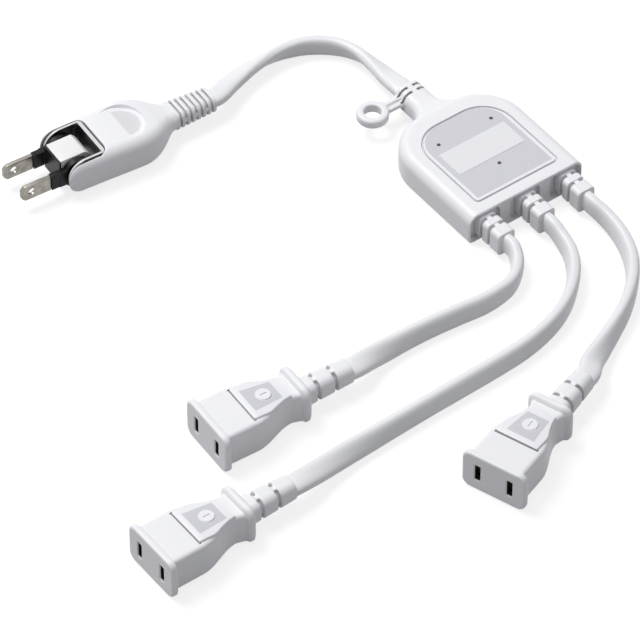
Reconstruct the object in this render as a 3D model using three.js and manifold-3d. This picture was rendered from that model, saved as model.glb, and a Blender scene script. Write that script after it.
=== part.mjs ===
// Three-way branch extension cord: swing plug, flat cord, junction box with hanging loop, three sockets.
// Millimetres, +Z up. Origin: centre of the junction box's underside, outlets towards -Y, inlet towards +Y.
import * as THREE from "three";
import { mergeVertices } from "three/addons/utils/BufferGeometryUtils.js";
import Module from "manifold-3d";

const wasm = await Module();
wasm.setup();

// General sizes
const GAP = 0.3; // clearance between touching pieces
const PIN_PITCH = 12.7; // spacing of blades and of socket slots
const BLADE_HEIGHT = 6.3;
const BLADE_THICKNESS = 1.5;
const REACH = 60; // a cutter's length past what it cuts

// Flat cord
const CORD_WIDTH = 8.2;
const CORD_THICKNESS = 4.6;
const CORD_SIDES = 12;
const CORD_STEP = 6.4;

// Junction box
const BOX_WIDTH = 50.3;
const BOX_HEIGHT = 12.7;
const BOX_FRONT = -29.3;
const BOX_REAR = 24.2;
const BOX_REAR_RADIUS = 18.6;
const BOX_TOP_RADIUS = 4;
const BOX_FOOT_RADIUS = 1.5;
const BOX_WALL = 2.3;
const PANEL_MARGIN_SIDE = 6.6;
const PANEL_MARGIN_FRONT = 4.6;
const PANEL_MARGIN_REAR = 8.6;
const PANEL_RADIUS = 12.5;
const PANEL_CORNER = 1.6;
const PANEL_GROOVE_WIDTH = 0.7;
const PANEL_DEPTH = 0.5;
const LABEL_WIDTH = 29;
const LABEL_DEPTH = 12.4;
const LABEL_Y = -3.8;
const LABEL_RISE = 0.2;
const PIN_HOLE_DIAMETER = 1.5;
const PIN_HOLES = [[-11.2, 6.7], [12, 6.4], [0.4, -13.3]];
const HOOD_LIP = 1;
const HOOD_DEPTH = 0.6;
const BAY_WIDTH = 13.4;
const BAY_HEIGHT = 10.2;
const BAY_RADIUS = 2.6;
const BAY_DEPTH = 1.6;
const OUTLET_PITCH = 17.8;
const OUTLET_Z = 6;
const CAVITY_FRONT_WALL = 3;
const CAVITY_LENGTH = 36;
const CORE_LENGTH = 31;
const CORE_SPLIT = 0.45; // the tray's share of the core's height
const BUS_WIDTH = 4.2;
const BUS_THICKNESS = 0.8;
const BUS_LENGTH = 33;
const BUS_SETBACKS = [6.4, 18.4]; // from the core's front
const BUS_GROOVE_DEPTH = 1.6;
const CRIMP_RADIUS = 1.1;
const CRIMP_LENGTH = 3.4;
const CRIMP_PITCH = 14.2;

// Inlet neck and hanging loop
const NECK_Z = 6.3;
const NECK_LENGTH = 16;
const NECK_WIDTH = 10.4;
const NECK_HEIGHT = 9.4;
const NECK_FLARE_WIDTH = 20;
const NECK_FLARE_HEIGHT = 11.6;
const NECK_GROOVE_WIDTH = 1.1;
const NECK_GROOVE_DEPTH = 1.5;
const NECK_GROOVE_PITCH = 2.7;
const LOOP_X = -17.2;
const LOOP_Y = 37.4;
const LOOP_Z = 7.2;
const LOOP_OUTER_RADIUS = 5.9;
const LOOP_HOLE_RADIUS = 3.4;
const LOOP_THICKNESS = 3.2;
const WEB_WIDTH = 5.2;
const WEB_THICKNESS = 1.8;
const WEB_RIB = 1.2;

// Outlet bend reliefs
const OUTLET_RELIEF_WIDTH = 7.4;
const OUTLET_RELIEF_HEIGHT = 9.6;
const OUTLET_RING = 3;
const OUTLET_GROOVE = 1.3;
const OUTLET_GROOVE_DEPTH = 1.3;
const OUTLET_END_RING = 4.8;
const OUTLET_STEM_WIDTH = 5.8;
const OUTLET_STEM_HEIGHT = 6.2;
const OUTLET_FLANGE = 1.3;
const OUTLET_FLANGE_WIDTH = 9;
const BRIDGE_WIDTH = 2;
const BRIDGE_INSET = 0.25;

// Sockets
const FACE_WIDTH = 25;
const FACE_HEIGHT = 16.2;
const FACE_RADIUS = 3;
const FACE_FLANGE = 2.5;
const GRIP_WIDTH = 20.8;
const GRIP_BOTTOM = 0.9;
const GRIP_TOP = 15.3;
const GRIP_RADIUS = 1.6;
const WAIST_START = 14.4;
const WAIST_X = 31;
const WAIST_WIDTH = 11.4;
const WAIST_TOP = 14.3;
const COLLAR_X = 34.2;
const COLLAR_LENGTH = 3.4;
const COLLAR_WIDTH = 17.2;
const COLLAR_HEIGHT = 15.8;
const PAD_RISE = 0.7;
const PAD_WIDTH = 16.6;
const PAD_INSET = 0.5;
const DISC_X = 22.9;
const DISC_RADIUS = 2.7;
const DISC_RISE = 0.35;
const SLOT_WIDTH = 2.2;
const SLOT_HEIGHT = 6.8;
const SOCKET_RELIEF_Z = 7.5;
const SOCKET_RELIEF_END = 57.4;
const SOCKET_RELIEF_WIDTH = 9.4;
const SOCKET_RELIEF_HEIGHT = 9.2;
const SOCKET_RELIEF_END_WIDTH = 8;
const SOCKET_RELIEF_END_HEIGHT = 8.2;
const SOCKET_GROOVES = [42.2, 49.4];
const SOCKET_GROOVE = 1.3;
const SOCKET_GROOVE_DEPTH = 1.3;
const HOLDER_LENGTH = 11.4;
const HOLDER_WIDTH = 17.6;
const HOLDER_HEIGHT = 9.4;
const HOLDER_POCKET = 3.2;
const CONTACT_LENGTH = 10.2;
const CONTACT_SHEET = 0.5;
const CONTACT_MOUTH = 1.9;
const CONTACT_PINCH = 1.1;
const CONTACT_HEIGHT = 6;
const CONTACT_TAIL = 3.4;

// Plug
const PLUG_HEIGHT = 14.8;
const PLUG_FRONT = 5.3;
const PLUG_FRONT_WIDTH = 24;
const PLUG_REAR_WIDTH = 25.8;
const PLUG_SHOULDER_X = 37;
const PLUG_NECK_X = 53;
const PLUG_NECK_WIDTH = 11.2;
const PLUG_NECK_HEIGHT = 7.6;
const WINDOW_WIDTH = 20.2;
const WINDOW_REAR = 21.9;
const WINDOW_RADIUS = 3.6;
const FRAME_WALL_SIDE = 1.3;
const FRAME_WALL_REAR = 1.9;
const FRAME_INSET_Z = 0.6;
const FRAME_NOSE = 6.1;
const PIVOT_X = 10.6;
const PIVOT_Z = PLUG_HEIGHT / 2;
const DRUM_WIDTH = 10.2;
const DRUM_HALF_HEIGHT = 6.2;
const DRUM_FRONT = 6.2; // from the pivot
const DRUM_CHAMFER = 1.8;
const DRUM_REAR_RADIUS = 7.6;
const CORE_BAR_RADIUS = 4.2;
const CHEEK_THICKNESS = 2.4;
const CHEEK_RADIUS = 5.8;
const SLEEVE_HEIGHT = 6.4;
const SLEEVE_THICKNESS = 2.4;
const BLADE_LENGTH = 12;
const BLADE_HOLE_DIAMETER = 3;
const BLADE_HOLE_X = 4.2; // from the tip
const BLADE_TIP_CHAMFER = 1.5;
const BLADE_ROOT_HEIGHT = 4.4;
const BLADE_ROOT_THICKNESS = 0.8;
const BLADE_ROOT_RADIUS = 2.6;
const PIVOT_BOSS_RADIUS = 1.4;
const DISH_RADIUS = 9;
const DISH_X = 33;
const DISH_DEPTH = 0.6;
const STRIP_HEIGHT = 3.6;
const STRIP_THICKNESS = 0.4;
const STRIP_REACH = 6;
const PLUG_RIBS = 8;
const PLUG_RIB = 1.25;
const PLUG_RIB_GAP = 0.95;
const PLUG_RELIEF_END_WIDTH = 9.8;
const PLUG_RELIEF_END_HEIGHT = 6.8;
const PLUG_GROOVE_DEPTH = 1.3;

// Places of the plug and sockets on the surface: x, y of the front face, and heading of the length axis
const PLUG_PLACE = { x: -128.5, y: 84.1, heading: -4.6 };
const SOCKET_PLACES = [
  { x: -157.2, y: -54.8, heading: -3.4 },
  { x: -205, y: -89.5, heading: -0.2 },
  { x: -92.2, y: -128.6, heading: 19.4 },
];

// Derived sizes
const BOX_SIDE = BOX_WIDTH / 2;
const CAVITY_WIDTH = BOX_WIDTH - 2 * BOX_WALL;
const BAY_FLOOR = BOX_FRONT + HOOD_DEPTH + BAY_DEPTH;
const CAVITY_FRONT = BAY_FLOOR + CAVITY_FRONT_WALL;
const CAVITY_REAR = CAVITY_FRONT + CAVITY_LENGTH;
const CAVITY_TOP = BOX_HEIGHT - BOX_WALL;
const CORE_FRONT = CAVITY_REAR - GAP - CORE_LENGTH;
const BUS_ROWS = BUS_SETBACKS.map((setback) => CORE_FRONT + setback);
const CRIMP_CENTRES = [-CRIMP_PITCH, 0, CRIMP_PITCH];
const NECK_END = BOX_REAR + NECK_LENGTH;
const OUTLET_RELIEF_LENGTH = 2 * (OUTLET_RING + OUTLET_GROOVE) + OUTLET_END_RING;
const OUTLET_END = BAY_FLOOR - GAP - OUTLET_RELIEF_LENGTH;
const PLUG_RELIEF_LENGTH = PLUG_RIBS * PLUG_RIB + (PLUG_RIBS - 1) * PLUG_RIB_GAP;
const PLUG_RELIEF_END = PLUG_NECK_X + PLUG_RELIEF_LENGTH;
const BLADE_Y = PIN_PITCH / 2;
const CHEEK_INNER = DRUM_WIDTH / 2 + GAP;
const CHEEK_OUTER = CHEEK_INNER + CHEEK_THICKNESS;
const FRAME_OUTER = WINDOW_WIDTH / 2 - GAP;
const FRAME_INNER = FRAME_OUTER - FRAME_WALL_SIDE;

// Finishes
const soft = new THREE.MeshStandardMaterial({ color: 0xf1f1f3, roughness: 0.45, metalness: 0 });
const sheath = new THREE.MeshStandardMaterial({ color: 0xeeeef0, roughness: 0.4, metalness: 0 });
const hard = new THREE.MeshStandardMaterial({ color: 0xf4f4f2, roughness: 0.3, metalness: 0 });
const black = new THREE.MeshStandardMaterial({ color: 0x161617, roughness: 0.4, metalness: 0 });
const nickel = new THREE.MeshStandardMaterial({ color: 0xb9b6ae, roughness: 0.3, metalness: 1 });
const brass = new THREE.MeshStandardMaterial({ color: 0xc9a353, roughness: 0.35, metalness: 1 });

// A closed skin over outlines of equal point count, stacked along the third axis of place(a, b, at)
function loft(layers, place) {
  const count = layers[0].outline.length;
  const top = (layers.length - 1) * count;
  const positions = layers.flatMap(({ at, outline }) => outline.flatMap((p) => place(p.x, p.y, at)));
  const index = [];
  for (let k = 0; k < top; k += count) {
    for (let i = 0; i < count; i++) {
      const a = k + i;
      const b = k + ((i + 1) % count);
      index.push(a, b, b + count, a, b + count, a + count);
    }
  }
  for (const [a, b, c] of THREE.ShapeUtils.triangulateShape(layers[0].outline, [])) {
    index.push(c, b, a);
  }
  for (const [a, b, c] of THREE.ShapeUtils.triangulateShape(layers.at(-1).outline, [])) {
    index.push(top + a, top + b, top + c);
  }
  const geometry = new THREE.BufferGeometry();
  geometry.setAttribute("position", new THREE.Float32BufferAttribute(positions, 3));
  geometry.setIndex(index);
  return geometry;
}

// Layers along +X hold outlines in (y, z); layers along +Z hold outlines in (x, y)
const alongX = (layers) => loft(layers, (a, b, at) => [at, a, b]);
const alongZ = (layers) => loft(layers, (a, b, at) => [a, b, at]);

// A rounded rectangle about (cx, cy), counter-clockwise
function roundedOutline(width, height, radius, { cx = 0, cy = 0, steps = 3 } = {}) {
  const r = Math.min(radius, width / 2 - 0.01, height / 2 - 0.01);
  const corners = [[1, 1, 0], [-1, 1, 90], [-1, -1, 180], [1, -1, 270]];
  const points = [];
  for (const [sx, sy, start] of corners) {
    for (let k = 0; k <= steps; k++) {
      const angle = THREE.MathUtils.degToRad(start + (90 * k) / steps);
      const x = cx + sx * (width / 2 - r) + r * Math.cos(angle);
      points.push(new THREE.Vector2(x, cy + sy * (height / 2 - r) + r * Math.sin(angle)));
    }
  }
  return points;
}

// Joining and cutting
function solid(geometry) {
  const bare = geometry.clone();
  bare.deleteAttribute("normal");
  bare.deleteAttribute("uv");
  const merged = mergeVertices(bare, 1e-4);
  const mesh = new wasm.Mesh({
    numProp: 3,
    vertProperties: new Float32Array(merged.attributes.position.array),
    triVerts: new Uint32Array(merged.index.array),
  });
  return new wasm.Manifold(mesh);
}

function shell(body) {
  const mesh = body.getMesh();
  const geometry = new THREE.BufferGeometry();
  geometry.setAttribute("position", new THREE.BufferAttribute(new Float32Array(mesh.vertProperties), 3));
  geometry.setIndex(new THREE.BufferAttribute(new Uint32Array(mesh.triVerts), 1));
  return geometry;
}

const join = (geometries) => geometries.map(solid).reduce((a, b) => a.add(b));
const cut = (body, geometries) => geometries.map(solid).reduce((a, b) => a.subtract(b), body);

function box(x0, x1, y0, y1, z0, z1) {
  const geometry = new THREE.BoxGeometry(x1 - x0, y1 - y0, z1 - z0);
  return geometry.translate((x0 + x1) / 2, (y0 + y1) / 2, (z0 + z1) / 2);
}

// A slab of a plan outline between two heights
function prism(outline, z0, z1) {
  return alongZ([{ at: z0, outline }, { at: z1, outline }]);
}

// A cylinder along Y between y0 and y1
function crossPin(radius, x, z, y0, y1, sides = 24) {
  const geometry = new THREE.CylinderGeometry(radius, radius, y1 - y0, sides);
  return geometry.translate(x, (y0 + y1) / 2, z);
}

function uprightPin(radius, x, y, z0, z1, sides = 24) {
  const geometry = new THREE.CylinderGeometry(radius, radius, z1 - z0, sides);
  return geometry.rotateX(Math.PI / 2).translate(x, y, (z0 + z1) / 2);
}

// A straight bar along +X through stations of width, height and centre height
function bar(stations, radius, steps = 3) {
  return alongX(stations.map(({ x, w, h, z }) => {
    return { at: x, outline: roundedOutline(w, h, radius, { cy: z, steps }) };
  }));
}

// Bridges across a bend relief's groove, in a cross
function bridges(x0, x1, width, height, z) {
  const w = width / 2 - BRIDGE_INSET;
  const h = height / 2 - BRIDGE_INSET;
  const b = BRIDGE_WIDTH / 2;
  return [box(x0, x1, -b, b, z - h, z + h), box(x0, x1, -w, w, z - b, z + b)];
}

// Junction box
function boxOutline(inset, front) {
  const side = BOX_SIDE - inset;
  const radius = BOX_REAR_RADIUS - inset;
  const points = [new THREE.Vector2(-side, front), new THREE.Vector2(side, front)];
  const steps = 9;
  for (const [sign, start] of [[1, 0], [-1, 90]]) {
    for (let k = 0; k <= steps; k++) {
      const angle = THREE.MathUtils.degToRad(start + (90 * k) / steps);
      const x = sign * (side - radius) + radius * Math.cos(angle);
      const y = BOX_REAR - inset - radius + radius * Math.sin(angle);
      points.push(new THREE.Vector2(x, y));
    }
  }
  return points;
}

function boxLayers(front, shrink) {
  const layers = [];
  const foot = Math.max(BOX_FOOT_RADIUS - shrink, 0.3);
  const top = Math.max(BOX_TOP_RADIUS - shrink, 0.3);
  for (const angle of [0, 45, 90]) {
    const a = THREE.MathUtils.degToRad(angle);
    const inset = foot * (1 - Math.sin(a));
    layers.push({ at: shrink + foot * (1 - Math.cos(a)), outline: boxOutline(shrink + inset, front) });
  }
  for (const angle of [0, 22.5, 45, 67.5, 90]) {
    const a = THREE.MathUtils.degToRad(angle);
    const inset = top * (1 - Math.cos(a));
    const at = BOX_HEIGHT - shrink - top + top * Math.sin(a);
    layers.push({ at, outline: boxOutline(shrink + inset, front) });
  }
  return layers;
}

// The panel's plan, square in front and round behind
function panelOutline(inset) {
  const half = BOX_SIDE - PANEL_MARGIN_SIDE - inset;
  const front = BOX_FRONT + PANEL_MARGIN_FRONT + inset;
  const rear = BOX_REAR - PANEL_MARGIN_REAR - inset;
  const shape = new THREE.Shape();
  const r = PANEL_RADIUS - inset;
  const c = PANEL_CORNER;
  shape.moveTo(-half + c, front);
  shape.lineTo(half - c, front);
  shape.lineTo(half, front + c);
  shape.lineTo(half, rear - r);
  shape.absarc(half - r, rear - r, r, 0, Math.PI / 2, false);
  shape.absarc(-half + r, rear - r, r, Math.PI / 2, Math.PI, false);
  shape.lineTo(-half, front + c);
  shape.closePath();
  return shape;
}

function slab(shape, z0, z1, curveSegments = 6) {
  const geometry = new THREE.ExtrudeGeometry(shape, { depth: z1 - z0, bevelEnabled: false, curveSegments });
  return geometry.translate(0, 0, z0);
}

function neckStations() {
  const flare = (x, share) => ({
    x,
    w: THREE.MathUtils.lerp(NECK_WIDTH, NECK_FLARE_WIDTH, share),
    h: THREE.MathUtils.lerp(NECK_HEIGHT, NECK_FLARE_HEIGHT, share),
    z: NECK_Z,
  });
  return [
    flare(BOX_REAR - 5, 1),
    flare(BOX_REAR - 0.4, 0.72),
    flare(BOX_REAR + 1.4, 0.34),
    flare(BOX_REAR + 3.4, 0.12),
    flare(BOX_REAR + 6, 0),
    flare(NECK_END, 0),
  ];
}

function neckGrooves() {
  const cutters = [];
  const w = NECK_WIDTH / 2;
  const h = NECK_HEIGHT / 2;
  const b = BRIDGE_WIDTH / 2;
  const d = NECK_GROOVE_DEPTH;
  for (const k of [1, 2]) {
    const x1 = NECK_END - NECK_GROOVE_PITCH * k + NECK_GROOVE_WIDTH;
    const x0 = x1 - NECK_GROOVE_WIDTH;
    for (const side of [-1, 1]) {
      const near = side * b;
      const far = side * (w + 1);
      const [y0, y1] = [Math.min(near, far), Math.max(near, far)];
      cutters.push(box(x0, x1, y0, y1, NECK_Z + h - d, NECK_Z + h + 1));
      cutters.push(box(x0, x1, y0, y1, NECK_Z - h - 1, NECK_Z - h + d));
      const inner = side * (w - d);
      const [s0, s1] = [Math.min(inner, far), Math.max(inner, far)];
      cutters.push(box(x0, x1, s0, s1, NECK_Z + b, NECK_Z + h + 1));
      cutters.push(box(x0, x1, s0, s1, NECK_Z - h - 1, NECK_Z - b));
    }
  }
  return cutters;
}

function hangingLoop() {
  const z0 = LOOP_Z - LOOP_THICKNESS / 2;
  const z1 = LOOP_Z + LOOP_THICKNESS / 2;
  const ring = uprightPin(LOOP_OUTER_RADIUS, LOOP_X, LOOP_Y, z0, z1, 28);
  const x0 = LOOP_X + (LOOP_OUTER_RADIUS + LOOP_HOLE_RADIUS) / 2;
  const web = WEB_WIDTH / 2;
  const half = WEB_THICKNESS / 2;
  const flat = box(x0, -NECK_WIDTH / 2 + 1, LOOP_Y - web, LOOP_Y + web, LOOP_Z - half, LOOP_Z + half);
  const rib = box(x0, -NECK_WIDTH / 2 + 1, LOOP_Y - WEB_RIB / 2, LOOP_Y + WEB_RIB / 2, z0, z1);
  return [ring, flat, rib];
}

function junctionHousing() {
  const overrun = BOX_FRONT - 6;
  let body = solid(alongZ(boxLayers(overrun, 0)));
  body = cut(body, [box(-REACH, REACH, BOX_FRONT - REACH, BOX_FRONT, -1, REACH)]);
  body = body.add(cut(solid(bar(neckStations(), 3.2)), neckGrooves()).rotate([0, 0, 90]));
  body = hangingLoop().reduce((a, b) => a.add(solid(b)), body);
  const holes = [
    box(-CAVITY_WIDTH / 2, CAVITY_WIDTH / 2, CAVITY_FRONT, CAVITY_REAR, BOX_WALL, CAVITY_TOP),
    uprightPin(LOOP_HOLE_RADIUS, LOOP_X, LOOP_Y, -1, REACH, 28),
  ];
  for (const [x, y] of PIN_HOLES) {
    holes.push(uprightPin(PIN_HOLE_DIAMETER / 2, x, y, CAVITY_TOP - 1, BOX_HEIGHT + 1, 12));
  }
  body = cut(body, holes);
  const panelFloor = BOX_HEIGHT - PANEL_DEPTH;
  const groove = solid(slab(panelOutline(0), panelFloor, BOX_HEIGHT + 1));
  body = body.subtract(groove.subtract(solid(slab(panelOutline(PANEL_GROOVE_WIDTH), 0, REACH))));
  const hood = solid(alongZ(boxLayers(overrun, HOOD_LIP)));
  const recess = solid(box(-REACH, REACH, BOX_FRONT - 1, BOX_FRONT + HOOD_DEPTH, -1, REACH));
  body = body.subtract(hood.intersect(recess));
  body = body.add(solid(labelPlate()));
  for (const x of outletCentres()) {
    const bay = roundedOutline(BAY_WIDTH, BAY_HEIGHT, BAY_RADIUS, { cx: x, cy: OUTLET_Z });
    body = body.subtract(solid(facingFront(bay, BOX_FRONT - 1, BAY_FLOOR)));
    const stem = roundedOutline(OUTLET_STEM_WIDTH + 2 * GAP, OUTLET_STEM_HEIGHT + 2 * GAP, 1.5,
      { cx: x, cy: OUTLET_Z });
    body = body.subtract(solid(facingFront(stem, BAY_FLOOR - 1, CAVITY_FRONT + 1)));
  }
  return shell(body);
}

const outletCentres = () => [-OUTLET_PITCH, 0, OUTLET_PITCH];

// A block with its outline in (x, z), between two y values
function facingFront(outline, y0, y1) {
  return loft([{ at: -y1, outline }, { at: -y0, outline }], (a, b, at) => [a, -at, b]);
}

function labelPlate() {
  const shape = new THREE.Shape(roundedOutline(LABEL_WIDTH, LABEL_DEPTH, 0.6, { cy: LABEL_Y, steps: 1 }));
  return slab(shape, BOX_HEIGHT - LABEL_RISE, BOX_HEIGHT + LABEL_RISE);
}

function coreTray() {
  const z0 = BOX_WALL + GAP;
  const z1 = THREE.MathUtils.lerp(z0, CAVITY_TOP - GAP, CORE_SPLIT);
  const half = CAVITY_WIDTH / 2 - GAP;
  const block = box(-half, half, CORE_FRONT, CAVITY_REAR - GAP, z0, z1);
  const grooves = BUS_ROWS.flatMap((y) => {
    const w = BUS_WIDTH / 2 + GAP;
    const l = BUS_LENGTH / 2 + GAP;
    const reach = CRIMP_LENGTH + GAP;
    const bed = box(-l, l, y - w, y + w, z1 - BUS_GROOVE_DEPTH, z1 + 1);
    const crimps = CRIMP_CENTRES.map((x) => {
      const c = CRIMP_RADIUS + GAP;
      return box(x - c, x + c, y - w - reach, y, z1 - BUS_GROOVE_DEPTH, z1 + 1);
    });
    return [bed, ...crimps];
  });
  return shell(cut(solid(block), grooves));
}

function coreLid() {
  const base = BOX_WALL + GAP;
  const z0 = THREE.MathUtils.lerp(base, CAVITY_TOP - GAP, CORE_SPLIT) + GAP;
  const half = CAVITY_WIDTH / 2 - GAP;
  const block = box(-half, half, CORE_FRONT, CAVITY_REAR - GAP, z0, CAVITY_TOP - GAP);
  const pins = PIN_HOLES.map(([x, y]) => uprightPin(PIN_HOLE_DIAMETER / 2, x, y, CAVITY_TOP - 2, REACH, 12));
  const room = BUS_ROWS.map((y) => {
    const w = BUS_WIDTH / 2 + GAP;
    return box(-BUS_LENGTH / 2, BUS_LENGTH / 2, y - w - CRIMP_LENGTH - GAP, y + w, z0 - 1, z0 + CRIMP_RADIUS);
  });
  return shell(cut(solid(block), [...pins, ...room]));
}

// A brass strip with a crimp barrel for each cord
function busBar(y) {
  const z1 = THREE.MathUtils.lerp(BOX_WALL + GAP, CAVITY_TOP - GAP, CORE_SPLIT);
  const z0 = z1 - BUS_GROOVE_DEPTH + GAP;
  const w = BUS_WIDTH / 2;
  const strip = box(-BUS_LENGTH / 2, BUS_LENGTH / 2, y - w, y + w, z0, z0 + BUS_THICKNESS);
  const crimps = CRIMP_CENTRES.map((x) => {
    const from = y - w - CRIMP_LENGTH;
    return crossPin(CRIMP_RADIUS, x, z0 + CRIMP_RADIUS, from, y - w + 1, 12);
  });
  return shell(join([strip, ...crimps]));
}

// A bend relief along +X from its flange behind the wall to its end ring
function outletRelief() {
  const z = OUTLET_Z;
  const stem = CAVITY_FRONT_WALL + GAP;
  const flangeHeight = 2 * (OUTLET_Z - BOX_WALL - GAP);
  const sizes = { w: OUTLET_RELIEF_WIDTH, h: OUTLET_RELIEF_HEIGHT };
  const core = {
    w: OUTLET_RELIEF_WIDTH - 2 * OUTLET_GROOVE_DEPTH,
    h: OUTLET_RELIEF_HEIGHT - 2 * OUTLET_GROOVE_DEPTH,
  };
  const span = (x0, x1, { w, h }, r) => bar([{ x: x0, w, h, z }, { x: x1, w, h, z }], r, 2);
  const pieces = [
    span(-stem - OUTLET_FLANGE, -stem, { w: OUTLET_FLANGE_WIDTH, h: flangeHeight }, 1.2),
    span(-stem - 0.5, GAP + 0.5, { w: OUTLET_STEM_WIDTH, h: OUTLET_STEM_HEIGHT }, 1.2),
    span(GAP, OUTLET_RELIEF_LENGTH, core, 1.2),
  ];
  let x = GAP;
  for (const length of [OUTLET_RING, OUTLET_RING, OUTLET_END_RING]) {
    pieces.push(span(x, x + length, sizes, 1.7));
    if (length !== OUTLET_END_RING) {
      pieces.push(...bridges(x + length - 0.2, x + length + OUTLET_GROOVE + 0.2, sizes.w, sizes.h, z));
    }
    x += length + OUTLET_GROOVE;
  }
  return shell(join(pieces));
}

// Socket, along +X from its face
function waistShare(x) {
  const t = THREE.MathUtils.clamp((x - WAIST_START) / (WAIST_X - WAIST_START), 0, 1);
  return THREE.MathUtils.smoothstep(t, 0, 1);
}

function gripStation(x, widen = 0) {
  const share = waistShare(x);
  const w = THREE.MathUtils.lerp(GRIP_WIDTH, WAIST_WIDTH, share) + widen;
  const top = THREE.MathUtils.lerp(GRIP_TOP, WAIST_TOP, share);
  return { x, w, h: top - GRIP_BOTTOM, z: (top + GRIP_BOTTOM) / 2 };
}

function socketBody() {
  const mid = FACE_HEIGHT / 2;
  const face = { w: FACE_WIDTH, h: FACE_HEIGHT, z: mid };
  const rim = { w: FACE_WIDTH - 0.8, h: FACE_HEIGHT - 0.8, z: mid };
  const flange = bar([{ x: 0, ...rim }, { x: 0.4, ...face }, { x: FACE_FLANGE, ...face }], FACE_RADIUS, 4);
  const xs = [FACE_FLANGE - 0.5, WAIST_START, 17, 19.5, 22, 24.5, 27.5, WAIST_X];
  const grip = bar([...xs.map((x) => gripStation(x)), gripStation(COLLAR_X + 0.8, 2.6)], GRIP_RADIUS);
  const collar = { w: COLLAR_WIDTH, h: COLLAR_HEIGHT, z: mid };
  const slope = { w: COLLAR_WIDTH - 2, h: COLLAR_HEIGHT - 2, z: mid };
  const tip = { w: SOCKET_RELIEF_WIDTH + 1.4, h: SOCKET_RELIEF_HEIGHT + 1.6, z: SOCKET_RELIEF_Z };
  const collarBar = bar([
    { x: COLLAR_X, ...slope },
    { x: COLLAR_X + 1, ...collar },
    { x: COLLAR_X + COLLAR_LENGTH - 0.8, ...collar },
    { x: COLLAR_X + COLLAR_LENGTH, ...slope },
    { x: COLLAR_X + COLLAR_LENGTH + 1, ...tip },
  ], 3.6, 4);
  const pad = alongX(xs.filter((x) => x >= WAIST_START).map((x) => {
    const { w, h, z } = gripStation(x);
    const top = z + h / 2 + PAD_RISE;
    const width = Math.min(PAD_WIDTH, w - 2 * PAD_INSET);
    return { at: x, outline: roundedOutline(width, 3, 0.4, { cy: top - 1.5, steps: 1 }) };
  }));
  const discTop = gripStation(DISC_X).z + gripStation(DISC_X).h / 2 + PAD_RISE + DISC_RISE;
  const disc = uprightPin(DISC_RADIUS, DISC_X, 0, discTop - 2, discTop, 24);
  let body = join([flange, grip, collarBar, pad, disc, ...socketRelief()]);
  const pocketX = FACE_FLANGE + HOLDER_LENGTH + 2 * GAP;
  const half = HOLDER_WIDTH / 2 + GAP;
  const room = HOLDER_HEIGHT / 2 + GAP;
  const tail = PIN_PITCH / 2 + 1.2;
  const cutters = [
    box(FACE_FLANGE, pocketX, -half, half, mid - room, mid + room),
    box(pocketX - 1, pocketX + CONTACT_TAIL, -tail, tail, mid - room + 2, mid + room - 2),
  ];
  for (const side of [-1, 1]) {
    const y = side * PIN_PITCH / 2;
    const w = SLOT_WIDTH / 2;
    const h = SLOT_HEIGHT / 2;
    cutters.push(box(-1, FACE_FLANGE + 1, y - w, y + w, mid - h, mid + h));
  }
  body = cut(body, cutters);
  return shell(body);
}

function socketRelief() {
  const from = COLLAR_X + COLLAR_LENGTH;
  const at = (x) => {
    const share = (x - from) / (SOCKET_RELIEF_END - from);
    return {
      x,
      w: THREE.MathUtils.lerp(SOCKET_RELIEF_WIDTH, SOCKET_RELIEF_END_WIDTH, share),
      h: THREE.MathUtils.lerp(SOCKET_RELIEF_HEIGHT, SOCKET_RELIEF_END_HEIGHT, share),
      z: SOCKET_RELIEF_Z,
    };
  };
  const thin = ({ x, w, h, z }) => ({ x, w: w - 2 * SOCKET_GROOVE_DEPTH, h: h - 2 * SOCKET_GROOVE_DEPTH, z });
  const pieces = [bar([thin(at(from)), thin(at(SOCKET_RELIEF_END))], 2.2)];
  let start = from;
  for (const x of [...SOCKET_GROOVES, SOCKET_RELIEF_END]) {
    pieces.push(bar([at(start), at(x)], 3, 4));
    if (x !== SOCKET_RELIEF_END) {
      const { w, h, z } = at(x + SOCKET_GROOVE);
      pieces.push(...bridges(x - 0.3, x + SOCKET_GROOVE + 0.3, w, h, z));
    }
    start = x + SOCKET_GROOVE;
  }
  return pieces;
}

// Insulating block with a pocket for each contact
function socketHolder() {
  const mid = FACE_HEIGHT / 2;
  const x0 = FACE_FLANGE + GAP;
  const half = HOLDER_WIDTH / 2;
  const room = HOLDER_HEIGHT / 2;
  const block = box(x0, x0 + HOLDER_LENGTH, -half, half, mid - room, mid + room);
  const pockets = [-1, 1].map((side) => {
    const y = side * PIN_PITCH / 2;
    const w = HOLDER_POCKET / 2;
    const h = SLOT_HEIGHT / 2;
    return box(x0 - 1, x0 + HOLDER_LENGTH + 1, y - w, y + w, mid - h, mid + h);
  });
  return shell(cut(solid(block), pockets));
}

// A folded spring contact: two leaves that pinch the blade, a web and a tail
function socketContact(side) {
  const t = CONTACT_SHEET;
  const mouth = CONTACT_MOUTH / 2;
  const pinch = CONTACT_PINCH / 2;
  const end = CONTACT_LENGTH;
  const leaf = [[0, mouth], [1.8, pinch], [end * 0.6, pinch + 0.2], [end - t, pinch + 0.35]];
  const outer = leaf.map(([x, y]) => [x, y + t]);
  const upper = [[end, pinch + 0.35 + t], [end, t / 2], [end + CONTACT_TAIL, t / 2]];
  const half = [...leaf.slice().reverse(), ...outer, ...upper];
  const mirrored = half.slice().reverse().map(([x, y]) => [x, -y]);
  const points = [...half, ...mirrored].map(([x, y]) => new THREE.Vector2(x, y));
  const shape = new THREE.Shape(points);
  const bottom = (FACE_HEIGHT - CONTACT_HEIGHT) / 2;
  return slab(shape, bottom, bottom + CONTACT_HEIGHT).translate(FACE_FLANGE + GAP, side * PIN_PITCH / 2, 0);
}

// Plug, along +X from the front of its sleeves
function plugStation(x, w, z0, z1) {
  return { x, w, h: z1 - z0, z: (z0 + z1) / 2 };
}

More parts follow.
